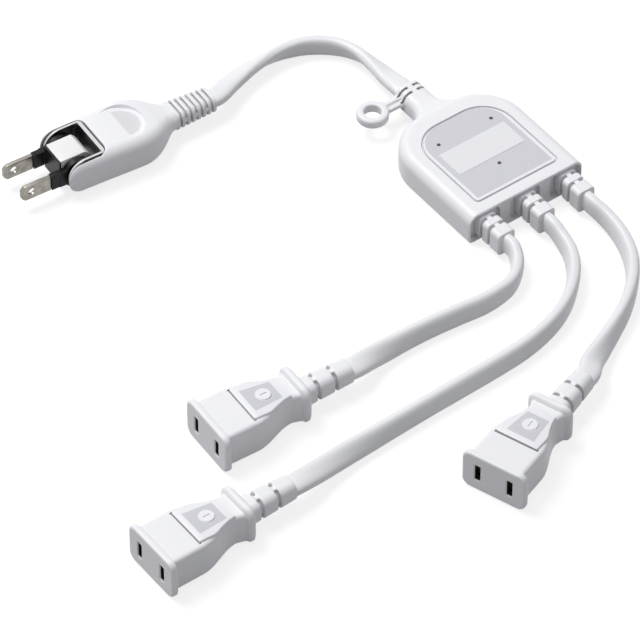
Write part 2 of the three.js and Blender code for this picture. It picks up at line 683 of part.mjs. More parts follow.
function plugBody() {
  const top = PLUG_HEIGHT;
  const mid = PIVOT_Z;
  const front = PLUG_FRONT_WIDTH;
  const rear = PLUG_REAR_WIDTH;
  const neckLow = mid - PLUG_NECK_HEIGHT / 2;
  const neckHigh = mid + PLUG_NECK_HEIGHT / 2;
  const stations = [
    plugStation(PLUG_FRONT, front - 3.2, 3.6, top - 3.8),
    plugStation(PLUG_FRONT + 0.8, front - 1.6, 2, top - 2.1),
    plugStation(PLUG_FRONT + 2.4, front - 0.6, 0.7, top - 0.7),
    plugStation(PLUG_FRONT + 5, front, 0, top),
    plugStation(WINDOW_REAR, front + 0.7, 0, top),
    plugStation(PLUG_SHOULDER_X - 6, rear - 0.3, 0, top),
    plugStation(PLUG_SHOULDER_X, rear, 0, top),
    plugStation(PLUG_SHOULDER_X + 4, rear - 1.6, 0.4, top - 0.4),
    plugStation(PLUG_SHOULDER_X + 8, rear - 5.4, 1.3, top - 1.3),
    plugStation(PLUG_NECK_X - 4.6, PLUG_NECK_WIDTH + 4.4, neckLow - 1.1, neckHigh + 1.1),
    plugStation(PLUG_NECK_X - 2, PLUG_NECK_WIDTH + 1, neckLow - 0.2, neckHigh + 0.2),
    plugStation(PLUG_NECK_X + 0.2, PLUG_NECK_WIDTH, neckLow, neckHigh),
  ];
  let body = solid(bar(stations, 4.6, 4));
  body = plugRelief().reduce((a, b) => a.add(solid(b)), body);
  const length = WINDOW_REAR + WINDOW_RADIUS + 10;
  const plan = roundedOutline(length, WINDOW_WIDTH, WINDOW_RADIUS, { cx: WINDOW_REAR - length / 2, steps: 4 });
  const strips = stripSides().map(([y0, y1]) => {
    const h = STRIP_HEIGHT / 2 + GAP;
    return box(WINDOW_REAR - 4, WINDOW_REAR + STRIP_REACH + GAP, y0 - GAP, y1 + GAP, PIVOT_Z - h, PIVOT_Z + h);
  });
  body = cut(body, [prism(plan, -1, REACH), ...strips]);
  const dish = uprightPin(DISH_RADIUS, DISH_X, 0, top - DISH_DEPTH, REACH, 40);
  const flatFront = box(DISH_X, REACH, -REACH, REACH, 0, REACH);
  body = body.subtract(solid(dish).intersect(solid(flatFront)));
  return shell(body);
}

function plugRelief() {
  const at = (x) => {
    const share = (x - PLUG_NECK_X) / PLUG_RELIEF_LENGTH;
    return {
      x,
      w: THREE.MathUtils.lerp(PLUG_NECK_WIDTH, PLUG_RELIEF_END_WIDTH, share),
      h: THREE.MathUtils.lerp(PLUG_NECK_HEIGHT, PLUG_RELIEF_END_HEIGHT, share),
      z: PIVOT_Z,
    };
  };
  const thin = ({ x, w, h, z }) => ({ x, w: w - 2 * PLUG_GROOVE_DEPTH, h: h - 2 * PLUG_GROOVE_DEPTH, z });
  const pieces = [bar([thin(at(PLUG_NECK_X - 1)), thin(at(PLUG_RELIEF_END))], 1.8, 2)];
  for (let k = 0; k < PLUG_RIBS; k++) {
    const x = PLUG_NECK_X + k * (PLUG_RIB + PLUG_RIB_GAP);
    pieces.push(bar([at(x), at(x + PLUG_RIB)], 2.6, 2));
    if (k < PLUG_RIBS - 1) {
      const { w, h, z } = at(x + PLUG_RIB);
      const cross = bridges(x + PLUG_RIB - 0.2, x + PLUG_RIB + PLUG_RIB_GAP + 0.2, w, h, z);
      pieces.push(cross[k % 2]);
    }
  }
  return pieces;
}

// Hard liner around the swinging head, open to the front
function plugFrame() {
  const outer = 2 * FRAME_OUTER;
  const rear = WINDOW_REAR - GAP;
  const length = rear - FRAME_NOSE + 10;
  const plan = roundedOutline(length, outer, WINDOW_RADIUS - GAP, { cx: rear - length / 2, steps: 4 });
  const innerRear = rear - FRAME_WALL_REAR;
  const hollow = roundedOutline(length + 20, 2 * FRAME_INNER, 1.8, { cx: innerRear - length / 2 - 10, steps: 3 });
  const z0 = FRAME_INSET_Z;
  const z1 = PLUG_HEIGHT - FRAME_INSET_Z;
  const nose = (z1 - z0) / 2;
  const side = new THREE.Shape();
  side.moveTo(FRAME_NOSE + nose, z0);
  side.lineTo(REACH, z0);
  side.lineTo(REACH, z1);
  side.lineTo(FRAME_NOSE + nose, z1);
  side.absarc(FRAME_NOSE + nose, PIVOT_Z, nose, Math.PI / 2, Math.PI * 1.5, false);
  const profile = new THREE.ExtrudeGeometry(side, { depth: REACH, bevelEnabled: false, curveSegments: 12 });
  profile.rotateX(Math.PI / 2).translate(0, REACH / 2, 0);
  let body = solid(prism(plan, z0, z1)).intersect(solid(profile));
  const grooves = stripSides().map(([y0, y1]) => {
    const h = STRIP_HEIGHT / 2 + GAP;
    const [low, high] = y0 > 0 ? [y0 - GAP, REACH] : [-REACH, y1 + GAP];
    return box(PIVOT_X - STRIP_HEIGHT / 2 - GAP, REACH, low, high, PIVOT_Z - h, PIVOT_Z + h);
  });
  const bearing = crossPin(PIVOT_BOSS_RADIUS + GAP, PIVOT_X, PIVOT_Z, -REACH, REACH);
  body = cut(body, [prism(hollow, -1, REACH), ...grooves, bearing]);
  return shell(body);
}

// The y ranges of the two fixed contact strips, flush inside the frame's outer faces
function stripSides() {
  const outer = FRAME_OUTER;
  return [[-outer, -outer + STRIP_THICKNESS], [outer - STRIP_THICKNESS, outer]];
}

function plugStrip([y0, y1]) {
  const h = STRIP_HEIGHT / 2;
  return box(PIVOT_X - h, WINDOW_REAR + STRIP_REACH, y0, y1, PIVOT_Z - h, PIVOT_Z + h);
}

// Swinging head
function headDrum() {
  const h = DRUM_HALF_HEIGHT;
  const shape = new THREE.Shape();
  const tangent = Math.asin(h / DRUM_REAR_RADIUS);
  shape.moveTo(-DRUM_FRONT, h);
  shape.lineTo(-DRUM_FRONT, -h + DRUM_CHAMFER);
  shape.lineTo(-DRUM_FRONT + DRUM_CHAMFER, -h);
  shape.absarc(0, 0, DRUM_REAR_RADIUS, -tangent, tangent, false);
  shape.closePath();
  const block = new THREE.ExtrudeGeometry(shape, { depth: DRUM_WIDTH, bevelEnabled: false, curveSegments: 10 });
  block.rotateX(Math.PI / 2).translate(PIVOT_X, DRUM_WIDTH / 2, PIVOT_Z);
  return shell(cut(solid(block), [crossPin(CORE_BAR_RADIUS + GAP, PIVOT_X, PIVOT_Z, -REACH, REACH)]));
}

// Black moulding: two cheeks with their sleeves, joined by a bar through the drum
function headCore() {
  const pieces = [crossPin(CORE_BAR_RADIUS, PIVOT_X, PIVOT_Z, -CHEEK_OUTER + 0.5, CHEEK_OUTER - 0.5)];
  const pockets = [];
  const h = SLEEVE_HEIGHT / 2;
  const rootHalf = BLADE_ROOT_HEIGHT / 2 + GAP;
  const rootThick = BLADE_ROOT_THICKNESS / 2 + GAP;
  for (const side of [-1, 1]) {
    const span = (a, b) => [Math.min(side * a, side * b), Math.max(side * a, side * b)];
    const [c0, c1] = span(CHEEK_INNER, CHEEK_OUTER);
    const [s0, s1] = span(BLADE_Y - SLEEVE_THICKNESS / 2, BLADE_Y + SLEEVE_THICKNESS / 2);
    const front = PIVOT_X - DRUM_FRONT - GAP;
    pieces.push(crossPin(CHEEK_RADIUS, PIVOT_X, PIVOT_Z, c0, c1, 32));
    pieces.push(box(0, front, s0, s1, PIVOT_Z - h, PIVOT_Z + h));
    pieces.push(box(front - 1, PIVOT_X, c0, c1, PIVOT_Z - h, PIVOT_Z + h));
    const [r0, r1] = span(BLADE_Y - rootThick, BLADE_Y + rootThick);
    pockets.push(box(-1, PIVOT_X, r0, r1, PIVOT_Z - rootHalf, PIVOT_Z + rootHalf));
    pockets.push(crossPin(BLADE_ROOT_RADIUS + GAP, PIVOT_X, PIVOT_Z, r0, r1));
    const [b0, b1] = span(BLADE_Y, CHEEK_OUTER + 1);
    pockets.push(crossPin(PIVOT_BOSS_RADIUS + GAP, PIVOT_X, PIVOT_Z, b0, b1));
  }
  return shell(cut(join(pieces), pockets));
}

// A blade with a round tip hole, a thinned root and a pivot boss that turns in the frame
function blade(side) {
  const h = BLADE_HEIGHT / 2;
  const c = BLADE_TIP_CHAMFER;
  const outline = [
    [-BLADE_LENGTH, -h + c], [-BLADE_LENGTH + c, -h], [-GAP, -h], [-GAP, h], [-BLADE_LENGTH + c, h],
    [-BLADE_LENGTH, h - c],
  ].map(([x, z]) => new THREE.Vector2(x, z));
  const plate = new THREE.Shape(outline);
  const hole = new THREE.Path().absarc(-BLADE_LENGTH + BLADE_HOLE_X, 0, BLADE_HOLE_DIAMETER / 2, 0, 2 * Math.PI);
  plate.holes.push(hole);
  const options = { depth: BLADE_THICKNESS, bevelEnabled: false, curveSegments: 10 };
  const front = new THREE.ExtrudeGeometry(plate, options);
  front.rotateX(Math.PI / 2).translate(0, BLADE_THICKNESS / 2, 0);
  const root = box(-1, PIVOT_X, -BLADE_ROOT_THICKNESS / 2, BLADE_ROOT_THICKNESS / 2,
    -BLADE_ROOT_HEIGHT / 2, BLADE_ROOT_HEIGHT / 2);
  const disc = crossPin(BLADE_ROOT_RADIUS, PIVOT_X, 0, -BLADE_ROOT_THICKNESS / 2, BLADE_ROOT_THICKNESS / 2);
  const reach = FRAME_OUTER - STRIP_THICKNESS - GAP - BLADE_Y;
  const ends = side > 0 ? [0, reach] : [-reach, 0];
  const boss = crossPin(PIVOT_BOSS_RADIUS, PIVOT_X, 0, ...ends);
  return shell(join([front, root, disc, boss])).translate(0, side * BLADE_Y, PIVOT_Z);
}

// Cords
class FlatCordPath extends THREE.CatmullRomCurve3 {
  constructor(stations) {
    super(stations.map(([x, y, z]) => new THREE.Vector3(x, y, z)), false, "centripetal");
    this.rolls = stations.map((station) => THREE.MathUtils.degToRad(station[3]));
  }

  rollAt(u) {
    const t = this.getUtoTmapping(u) * (this.rolls.length - 1);
    const k = Math.min(Math.floor(t), this.rolls.length - 2);
    return THREE.MathUtils.lerp(this.rolls[k], this.rolls[k + 1], t - k);
  }

  // Sections stand square to the route; roll 0 lays the wide axis level
  computeFrenetFrames(segments) {
    const frames = { tangents: [], normals: [], binormals: [] };
    const up = new THREE.Vector3(0, 0, 1);
    for (let i = 0; i <= segments; i++) {
      const tangent = this.getTangentAt(i / segments);
      const level = new THREE.Vector3().crossVectors(up, tangent).normalize();
      const normal = level.applyAxisAngle(tangent, this.rollAt(i / segments));
      frames.tangents.push(tangent);
      frames.normals.push(normal);
      frames.binormals.push(new THREE.Vector3().crossVectors(tangent, normal));
    }
    return frames;
  }
}

function cordSection() {
  const points = [];
  for (let i = 0; i < CORD_SIDES; i++) {
    const angle = (2 * Math.PI * (i + 0.5)) / CORD_SIDES;
    const c = Math.cos(angle);
    const s = Math.sin(angle);
    const x = (CORD_WIDTH / 2) * Math.sign(c) * Math.abs(c) ** 0.75;
    points.push(new THREE.Vector2(x, (CORD_THICKNESS / 2) * Math.sign(s) * Math.abs(s) ** 0.75));
  }
  return new THREE.Shape(points);
}

function cordTube(stations) {
  const path = new FlatCordPath(stations);
  const steps = Math.round(path.getLength() / CORD_STEP);
  return new THREE.ExtrudeGeometry(cordSection(), { steps, extrudePath: path });
}

// A point on a placed piece's length axis
function onAxis(place, along, z) {
  const a = THREE.MathUtils.degToRad(place.heading);
  return [place.x + along * Math.cos(a), place.y + along * Math.sin(a), z];
}

// Routes: x, y, z, and the roll of the wide axis in degrees
const MAIN_ROUTE = [
  [...onAxis(PLUG_PLACE, PLUG_RELIEF_END + GAP, PIVOT_Z), 0],
  [...onAxis(PLUG_PLACE, PLUG_RELIEF_END + 2.5, PIVOT_Z), 0],
  [-47.6, 82, 5.9, -10],
  [-37.6, 85, 4.8, -30],
  [-29, 86, 4.4, -54],
  [-21.4, 85.6, 4.3, -72],
  [-13.8, 83.4, 4.3, -86],
  [-7.6, 79.4, 4.3, -88],
  [-2.9, 74, 4.3, -80],
  [-0.2, 67.4, 4.3, -62],
  [0.7, 59, 4.4, -38],
  [0.4, 50.6, 5.1, -14],
  [0, NECK_END + 4, NECK_Z, 0],
  [0, NECK_END + GAP, NECK_Z, 0],
];
const OUTLET_ROUTES = [
  [
    [-OUTLET_PITCH, OUTLET_END - GAP, OUTLET_Z, -90],
    [-OUTLET_PITCH, OUTLET_END - 4, OUTLET_Z, -90],
    [-19.6, -49.2, 5, -94],
    [-23.4, -53.6, 4.5, -98],
    [-28.6, -56.8, 4.3, -90],
    [-35, -58.1, 4.3, -80],
    [-42, -58.3, 4.3, -76],
    [-50, -57.4, 4.3, -75],
    [-60, -56.4, 4.3, -75],
    [-71, -55.8, 4.3, -72],
    [-81.6, -56, 4.7, -58],
    [-90.6, -57, 6, -34],
    [...onAxis(SOCKET_PLACES[0], SOCKET_RELIEF_END + 3, SOCKET_RELIEF_Z), -8],
    [...onAxis(SOCKET_PLACES[0], SOCKET_RELIEF_END + GAP, SOCKET_RELIEF_Z), 0],
  ],
  [
    [0, OUTLET_END - GAP, OUTLET_Z, -90],
    [0, OUTLET_END - 4, OUTLET_Z, -90],
    [-0.5, -50, 5, -94],
    [-2.2, -56.8, 4.5, -100],
    [-5.8, -63.4, 4.3, -102],
    [-11, -69.4, 4.3, -98],
    [-17.6, -74.8, 4.3, -90],
    [-25.4, -79, 4.3, -84],
    [-34.6, -82, 4.3, -80],
    [-45, -83.8, 4.3, -76],
    [-57, -84.5, 4.3, -74],
    [-71, -84.9, 4.3, -74],
    [-87, -85.3, 4.3, -74],
    [-104, -85.9, 4.3, -68],
    [-121, -86.6, 4.5, -48],
    [-134.6, -88.2, 5.8, -26],
    [...onAxis(SOCKET_PLACES[1], SOCKET_RELIEF_END + 4, SOCKET_RELIEF_Z), -8],
    [...onAxis(SOCKET_PLACES[1], SOCKET_RELIEF_END + GAP, SOCKET_RELIEF_Z), 0],
  ],
  [
    [OUTLET_PITCH, OUTLET_END - GAP, OUTLET_Z, -90],
    [OUTLET_PITCH, OUTLET_END - 4, OUTLET_Z, -92],
    [18.4, -52, 5, -96],
    [17.2, -61, 4.5, -102],
    [14, -70, 4.3, -104],
    [9, -77.8, 4.3, -98],
    [2.4, -84.6, 4.3, -90],
    [-5.4, -90.4, 4.3, -82],
    [-14, -95.3, 4.4, -72],
    [-22.6, -99.9, 5, -56],
    [-30.4, -104.4, 6.4, -30],
    [...onAxis(SOCKET_PLACES[2], SOCKET_RELIEF_END + 3, SOCKET_RELIEF_Z), -8],
    [...onAxis(SOCKET_PLACES[2], SOCKET_RELIEF_END + GAP, SOCKET_RELIEF_Z), 0],
  ],
];

// Assembly
function named(name, geometry, material) {
  const mesh = new THREE.Mesh(geometry, material);
  mesh.name = name;
  return mesh;
}

function placed({ x, y, heading }, children) {
  const group = new THREE.Group();
  group.position.set(x, y, 0);
  group.rotation.z = THREE.MathUtils.degToRad(heading);
  group.add(...children);
  return group;
}

const part = new THREE.Group();
part.add(
  named("junction_housing", junctionHousing(), soft),
  named("junction_core_tray", coreTray(), hard),
  named("junction_core_lid", coreLid(), hard),
  named("bus_bar_front", busBar(BUS_ROWS[0]), brass),
  named("bus_bar_rear", busBar(BUS_ROWS[1]), brass),
);
outletCentres().forEach((x, k) => {
  const relief = outletRelief().rotateZ(-Math.PI / 2).translate(x, BAY_FLOOR, 0);
  part.add(named(`outlet_relief_${k + 1}`, relief, soft));
});
SOCKET_PLACES.forEach((place, k) => {
  part.add(placed(place, [
    named(`socket_${k + 1}_body`, socketBody(), soft),
    named(`socket_${k + 1}_holder`, socketHolder(), hard),
    named(`socket_${k + 1}_contact_a`, socketContact(1), brass),
    named(`socket_${k + 1}_contact_b`, socketContact(-1), brass),
  ]));
});
part.add(placed(PLUG_PLACE, [
  named("plug_body", plugBody(), soft),
  named("plug_frame", plugFrame(), hard),
  named("plug_strip_a", plugStrip(stripSides()[1]), brass),
  named("plug_strip_b", plugStrip(stripSides()[0]), brass),
  named("head_drum", headDrum(), hard),
  named("head_core", headCore(), black),
  named("blade_a", blade(1), nickel),
  named("blade_b", blade(-1), nickel),
]));
part.add(named("cord_main", cordTube(MAIN_ROUTE), sheath));
OUTLET_ROUTES.forEach((route, k) => {
  part.add(named(`cord_outlet_${k + 1}`, cordTube(route), sheath));
});

export default part;
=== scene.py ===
"""Looks of a three-way branch extension cord: swing plug, flat cords, junction box and three sockets.

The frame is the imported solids' own, with +Z up: the origin is the centre of the junction box's
underside, the outlets leave towards -Y and the plug's cord arrives from +Y. Blender works in metres.
Forms are drawn in millimetres and scaled once, when they are installed.
"""
from __future__ import annotations

import logging
import math
from dataclasses import dataclass
from enum import Enum
from typing import Sequence

import bmesh
import bpy
from mathutils import Matrix, Vector


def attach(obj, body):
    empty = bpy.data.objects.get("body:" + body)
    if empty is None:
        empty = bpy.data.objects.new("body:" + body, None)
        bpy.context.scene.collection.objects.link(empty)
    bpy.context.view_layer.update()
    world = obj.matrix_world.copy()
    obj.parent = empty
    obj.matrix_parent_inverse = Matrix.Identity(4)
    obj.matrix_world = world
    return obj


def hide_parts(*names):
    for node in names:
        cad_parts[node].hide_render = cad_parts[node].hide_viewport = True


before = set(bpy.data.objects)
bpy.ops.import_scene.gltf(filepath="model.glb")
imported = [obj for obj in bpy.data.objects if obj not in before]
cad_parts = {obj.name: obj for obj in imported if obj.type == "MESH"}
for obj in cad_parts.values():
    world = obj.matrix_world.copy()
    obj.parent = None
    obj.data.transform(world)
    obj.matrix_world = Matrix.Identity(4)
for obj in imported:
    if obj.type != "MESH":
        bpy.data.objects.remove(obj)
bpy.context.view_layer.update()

MM = 0.001
VINYL_INDEX = 1.46
REACH = 60.0
log = logging.getLogger("extension_cord")

Colour = tuple[float, float, float]
Outline = list[tuple[float, float]]
Layer = tuple[float, Outline]


class Slot(Enum):
    """The record's material slots."""

    SOFT = "soft_white"
    SHEATH = "cord_sheath"
    HARD = "hard_white"
    BLACK = "black_plastic"
    NICKEL = "nickel"
    BRASS = "brass"


class Body(Enum):
    """The bodies that pieces ride on."""

    ROOT = "root"
    HEAD = "plug_head"


class Axis(Enum):
    """The direction that outlines are stacked in."""

    X = "x"
    Y = "y"
    Z = "z"

    def point(self, a: float, b: float, at: float) -> Vector:
        """The point (a, b) of the outline at height at."""
        return Vector({"x": (at, a, b), "y": (a, at, b), "z": (a, b, at)}[self.value])


# Shader maths

class Signal:
    """A node's output socket that takes part in Python arithmetic."""

    def __init__(self, board: Board, socket: bpy.types.NodeSocket) -> None:
        """Wraps a socket of a board's node tree."""
        self.board = board
        self.socket = socket

    def sibling(self, output: str) -> Signal:
        """Another output of the same node."""
        return Signal(self.board, self.socket.node.outputs[output])

    def _math(self, operation: str, first: Signal | float, second: Signal | float) -> Signal:
        """A Math node on two operands."""
        return self.board.node("ShaderNodeMath", {0: first, 1: second}, operation=operation)

    def __add__(self, other: Signal | float) -> Signal:
        """self + other"""
        return self._math("ADD", self, other)

    def __radd__(self, other: float) -> Signal:
        """other + self"""
        return self._math("ADD", other, self)

    def __sub__(self, other: Signal | float) -> Signal:
        """self - other"""
        return self._math("SUBTRACT", self, other)

    def __rsub__(self, other: float) -> Signal:
        """other - self"""
        return self._math("SUBTRACT", other, self)

    def __mul__(self, other: Signal | float) -> Signal:
        """self * other"""
        return self._math("MULTIPLY", self, other)

    def __truediv__(self, other: Signal | float) -> Signal:
        """self / other"""
        return self._math("DIVIDE", self, other)

    def __abs__(self) -> Signal:
        """The size of the value without its sign."""
        return self._math("ABSOLUTE", self, 0.0)

    def at_least(self, low: Signal | float) -> Signal:
        """The greater of the two."""
        return self._math("MAXIMUM", self, low)

    def at_most(self, high: Signal | float) -> Signal:
        """The smaller of the two."""
        return self._math("MINIMUM", self, high)

    def sine(self) -> Signal:
        """The sine of the value in radians."""
        return self._math("SINE", self, 0.0)

    def root(self) -> Signal:
        """The square root."""
        return self._math("SQRT", self, 0.0)

    def ramp(self, low: float, high: float) -> Signal:
        """Rises smoothly from 0 at low to 1 at high.

        Args:
            low: the value at which the result is 0.
            high: the value at which it is 1; below low, the ramp falls.

        Returns:
            The smoothed share.
        """
        if low < high:
            return self.board.node(
                "ShaderNodeMapRange",
                {"Value": self, "From Min": low, "From Max": high},
                interpolation_type="SMOOTHSTEP",
            )
        return 1.0 - self.ramp(high, low)

    def band(self, low: float, high: float, edge: float) -> Signal:
        """1 between low and high, falling to 0 within edge of either."""
        return self.ramp(low - edge, low + edge) * self.ramp(high + edge, high - edge)

    def reach(self, other: Signal) -> Signal:
        """How far the point (self, other) is from 0."""
        return (self * self + other * other).root()


class Board:
    """A material's or world's node tree, filled by expressions."""

    def __init__(self, tree: bpy.types.NodeTree) -> None:
        """Empties the tree."""
        self.tree = tree
        tree.nodes.clear()

    def node(
        self,
        kind: str,
        inputs: dict[int | str, object] | None = None,
        output: int | str = 0,
        **settings: object,
    ) -> Signal:
        """Adds one node.

        Args:
            kind: the node's Blender type.
            inputs: values, or Signals to link, by socket name or number.
            output: the output that is wanted.
            **settings: the node's properties, which are set first.

        Returns:
            The wanted output; the node's other outputs are its siblings.
        """
        node = self.tree.nodes.new(kind)
        for name, value in settings.items():
            setattr(node, name, value)
        for key, value in (inputs or {}).items():
            if isinstance(value, Signal):
                self.tree.links.new(value.socket, node.inputs[key])
            else:
                node.inputs[key].default_value = value
        return Signal(self, node.outputs[output])

    def place(self) -> Signal:
        """The point's own coordinates in its object, in metres."""
        return self.node("ShaderNodeTexCoord", output="Object")

    def axes(self, vector: Signal) -> tuple[Signal, Signal, Signal]:
        """The three coordinates, in millimetres, of a vector in metres."""
        x = self.node("ShaderNodeSeparateXYZ", {0: vector}, output="X")
        return x / MM, x.sibling("Y") / MM, x.sibling("Z") / MM

    def noise(self, vector: Signal, per_mm: float, detail: float = 2.0) -> Signal:
        """Noise over a vector.

        Args:
            vector: in metres.
            per_mm: the waves to the millimetre.
            detail: the octaves.

        Returns:
            Values from 0 to 1.
        """
        return self.node(
            "ShaderNodeTexNoise",
            {"Vector": vector, "Scale": per_mm / MM, "Detail": detail, "Roughness": 0.55},
            output="Fac",
        )

    def blend(self, share: Signal, low: Colour, high: Colour) -> Signal:
        """A colour between two.

        Args:
            share: 0 for low, 1 for high.
            low: the first colour.
            high: the second colour.

        Returns:
            The blended colour.
        """
        return self.node(
            "ShaderNodeMix",
            {0: share, 6: (*low, 1.0), 7: (*high, 1.0)},
            output=2,
            data_type="RGBA",
        )

    def shade(self, colour: Signal | Colour, share: Signal) -> Signal:
        """A colour scaled by a share."""
        return self.node("ShaderNodeVectorMath", {0: colour, "Scale": share}, operation="SCALE")

    def openness(self, reach: float) -> Signal:
        """How open the surface is to the piece's own mesh around it.

        Args:
            reach: how far the mesh is looked at, in millimetres.

        Returns:
            1 on open faces, less in grooves and corners.
        """
        return self.node(
            "ShaderNodeAmbientOcclusion",
            {"Distance": reach * MM},
            output="AO",
            samples=8,
            only_local=True,
        )

    def bump(self, height: Signal, depth: float) -> Signal:
        """A bumped normal; depth is the height's full swing in millimetres."""
        return self.node("ShaderNodeBump", {"Strength": 1.0, "Distance": depth * MM, "Height": height})


# Finishes

@dataclass(frozen=True)
class Finish:
    """A surface finish, made into a material once."""

    title: str
    slot: Slot
    colour: Colour
    roughness: float
    metallic: float = 0.0

    def material(self) -> bpy.types.Material:
        """Builds the material.

        Returns:
            A new material that holds the finish.
        """
        made = bpy.data.materials.new(self.title)
        made.use_nodes = True
        made.diffuse_color = (*self.colour, 1.0)
        made.roughness = self.roughness
        board = Board(made.node_tree)
        sockets: dict[str, object] = {
            "Base Color": (*self.colour, 1.0),
            "Roughness": self.roughness,
            "Metallic": self.metallic,
        }
        sockets.update(self.dress(board))
        close(board, board.node("ShaderNodeBsdfPrincipled", sockets))
        return made

    def dress(self, board: Board) -> dict[str, object]:
        """The sockets that vary over the surface."""
        return {}


def close(board: Board, surface: Signal) -> None:
    """Links a shader to the tree's material output.

    Args:
        board: the node tree.
        surface: the shader's output.
    """
    end = board.tree.nodes.new("ShaderNodeOutputMaterial")
    board.tree.links.new(surface.socket, end.inputs["Surface"])


@dataclass(frozen=True)
class Patch:
    """A spark-textured area of a moulding, where painted shade greys the colour, as a mask over object
    coordinates.
    """

    def mask(self, board: Board, point: Signal) -> Signal:
        """1 on the textured area, 0 elsewhere."""
        raise NotImplementedError


@dataclass(frozen=True)
class PanelPatch(Patch):
    """The junction box's panel inside its groove, apart from the label and the rim."""

    half: float
    front: float
    rear: float
    radius: float
    label_half: float
    label_front: float
    label_rear: float
    floor: float
    label_share: float = 0.3
    edge: float = 0.12

    def mask(self, board: Board, point: Signal) -> Signal:
        """The panel's plan without the label's rectangle.

        Args:
            board: the node tree.
            point: the point in metres.

        Returns:
            1 on the textured area, 0 elsewhere.
        """
        x, y, z = board.axes(point)
        e = self.edge
        across = abs(x)
        plan = across.ramp(self.half + e, self.half - e) * y.ramp(self.front - e, self.front + e)
        over_x = (across - (self.half - self.radius)).at_least(0.0)
        over_y = (y - (self.rear - self.radius)).at_least(0.0)
        plan = plan * over_x.reach(over_y).ramp(self.radius + e, self.radius - e)
        beside = across.ramp(self.label_half + e, self.label_half - e)
        label = beside * y.band(self.label_front, self.label_rear, e)
        share = 1.0 - label * (1.0 - self.label_share)
        return plan * share * z.ramp(self.floor - e, self.floor + e)


@dataclass(frozen=True)
class PadPatch(Patch):
    """The tapered square on a socket's pad, round its smooth disc."""

    start: float
    end: float
    half_start: float
    half_end: float
    disc_x: float
    disc_radius: float
    floor: float
    edge: float = 0.15

    def mask(self, board: Board, point: Signal) -> Signal:
        """The square without the disc.

        Args:
            board: the node tree.
            point: the point in metres.

        Returns:
            1 on the textured area, 0 elsewhere.
        """
        x, y, z = board.axes(point)
        e = self.edge
        slope = (self.half_end - self.half_start) / (self.end - self.start)
        half = (x - self.start) * slope + self.half_start
        inside = (half - abs(y)).ramp(-e, e)
        ring = (x - self.disc_x).reach(y).ramp(self.disc_radius, self.disc_radius + 2 * e)
        return inside * x.band(self.start, self.end, e) * ring * z.ramp(self.floor - e, self.floor)


@dataclass(frozen=True)
class DishPatch(Patch):
    """The D-shaped flat of the plug's finger dish."""

    centre: float
    radius: float
    front: float
    low: float
    high: float
    edge: float = 0.5

    def mask(self, board: Board, point: Signal) -> Signal:
        """The flat inside the dish's wall.

        Args:
            board: the node tree.
            point: the point in metres.

        Returns:
            1 on the textured area, 0 elsewhere.
        """
        x, y, z = board.axes(point)
        e = self.edge
        disc = (x - self.centre).reach(y).ramp(self.radius + e, self.radius - e)
        level = z.ramp(self.low - e, self.low) * z.ramp(self.high + e, self.high)
        return disc * x.ramp(self.front - e, self.front + e) * level


@dataclass(frozen=True)
class SlotShade:
    """Painted shade on the inside of a socket's two blade slots, as a mask over object coordinates."""

    pitch: float
    half_width: float
    half_height: float
    mid: float
    start: float
    end: float
    edge: float = 0.15

    def mask(self, board: Board, point: Signal) -> Signal:
        """The slots' walls behind their funnels.

        Args:
            board: the node tree.
            point: the point in metres.

        Returns:
            1 in the slots, 0 elsewhere.
        """
        x, y, z = board.axes(point)
        e = self.edge
        beside = abs(abs(y) - self.pitch / 2).ramp(self.half_width + e, self.half_width)
        level = abs(z - self.mid).ramp(self.half_height + e, self.half_height)
        depth = x.ramp(self.start - e, self.start + e) * x.ramp(self.end + e, self.end)
        return beside * level * depth


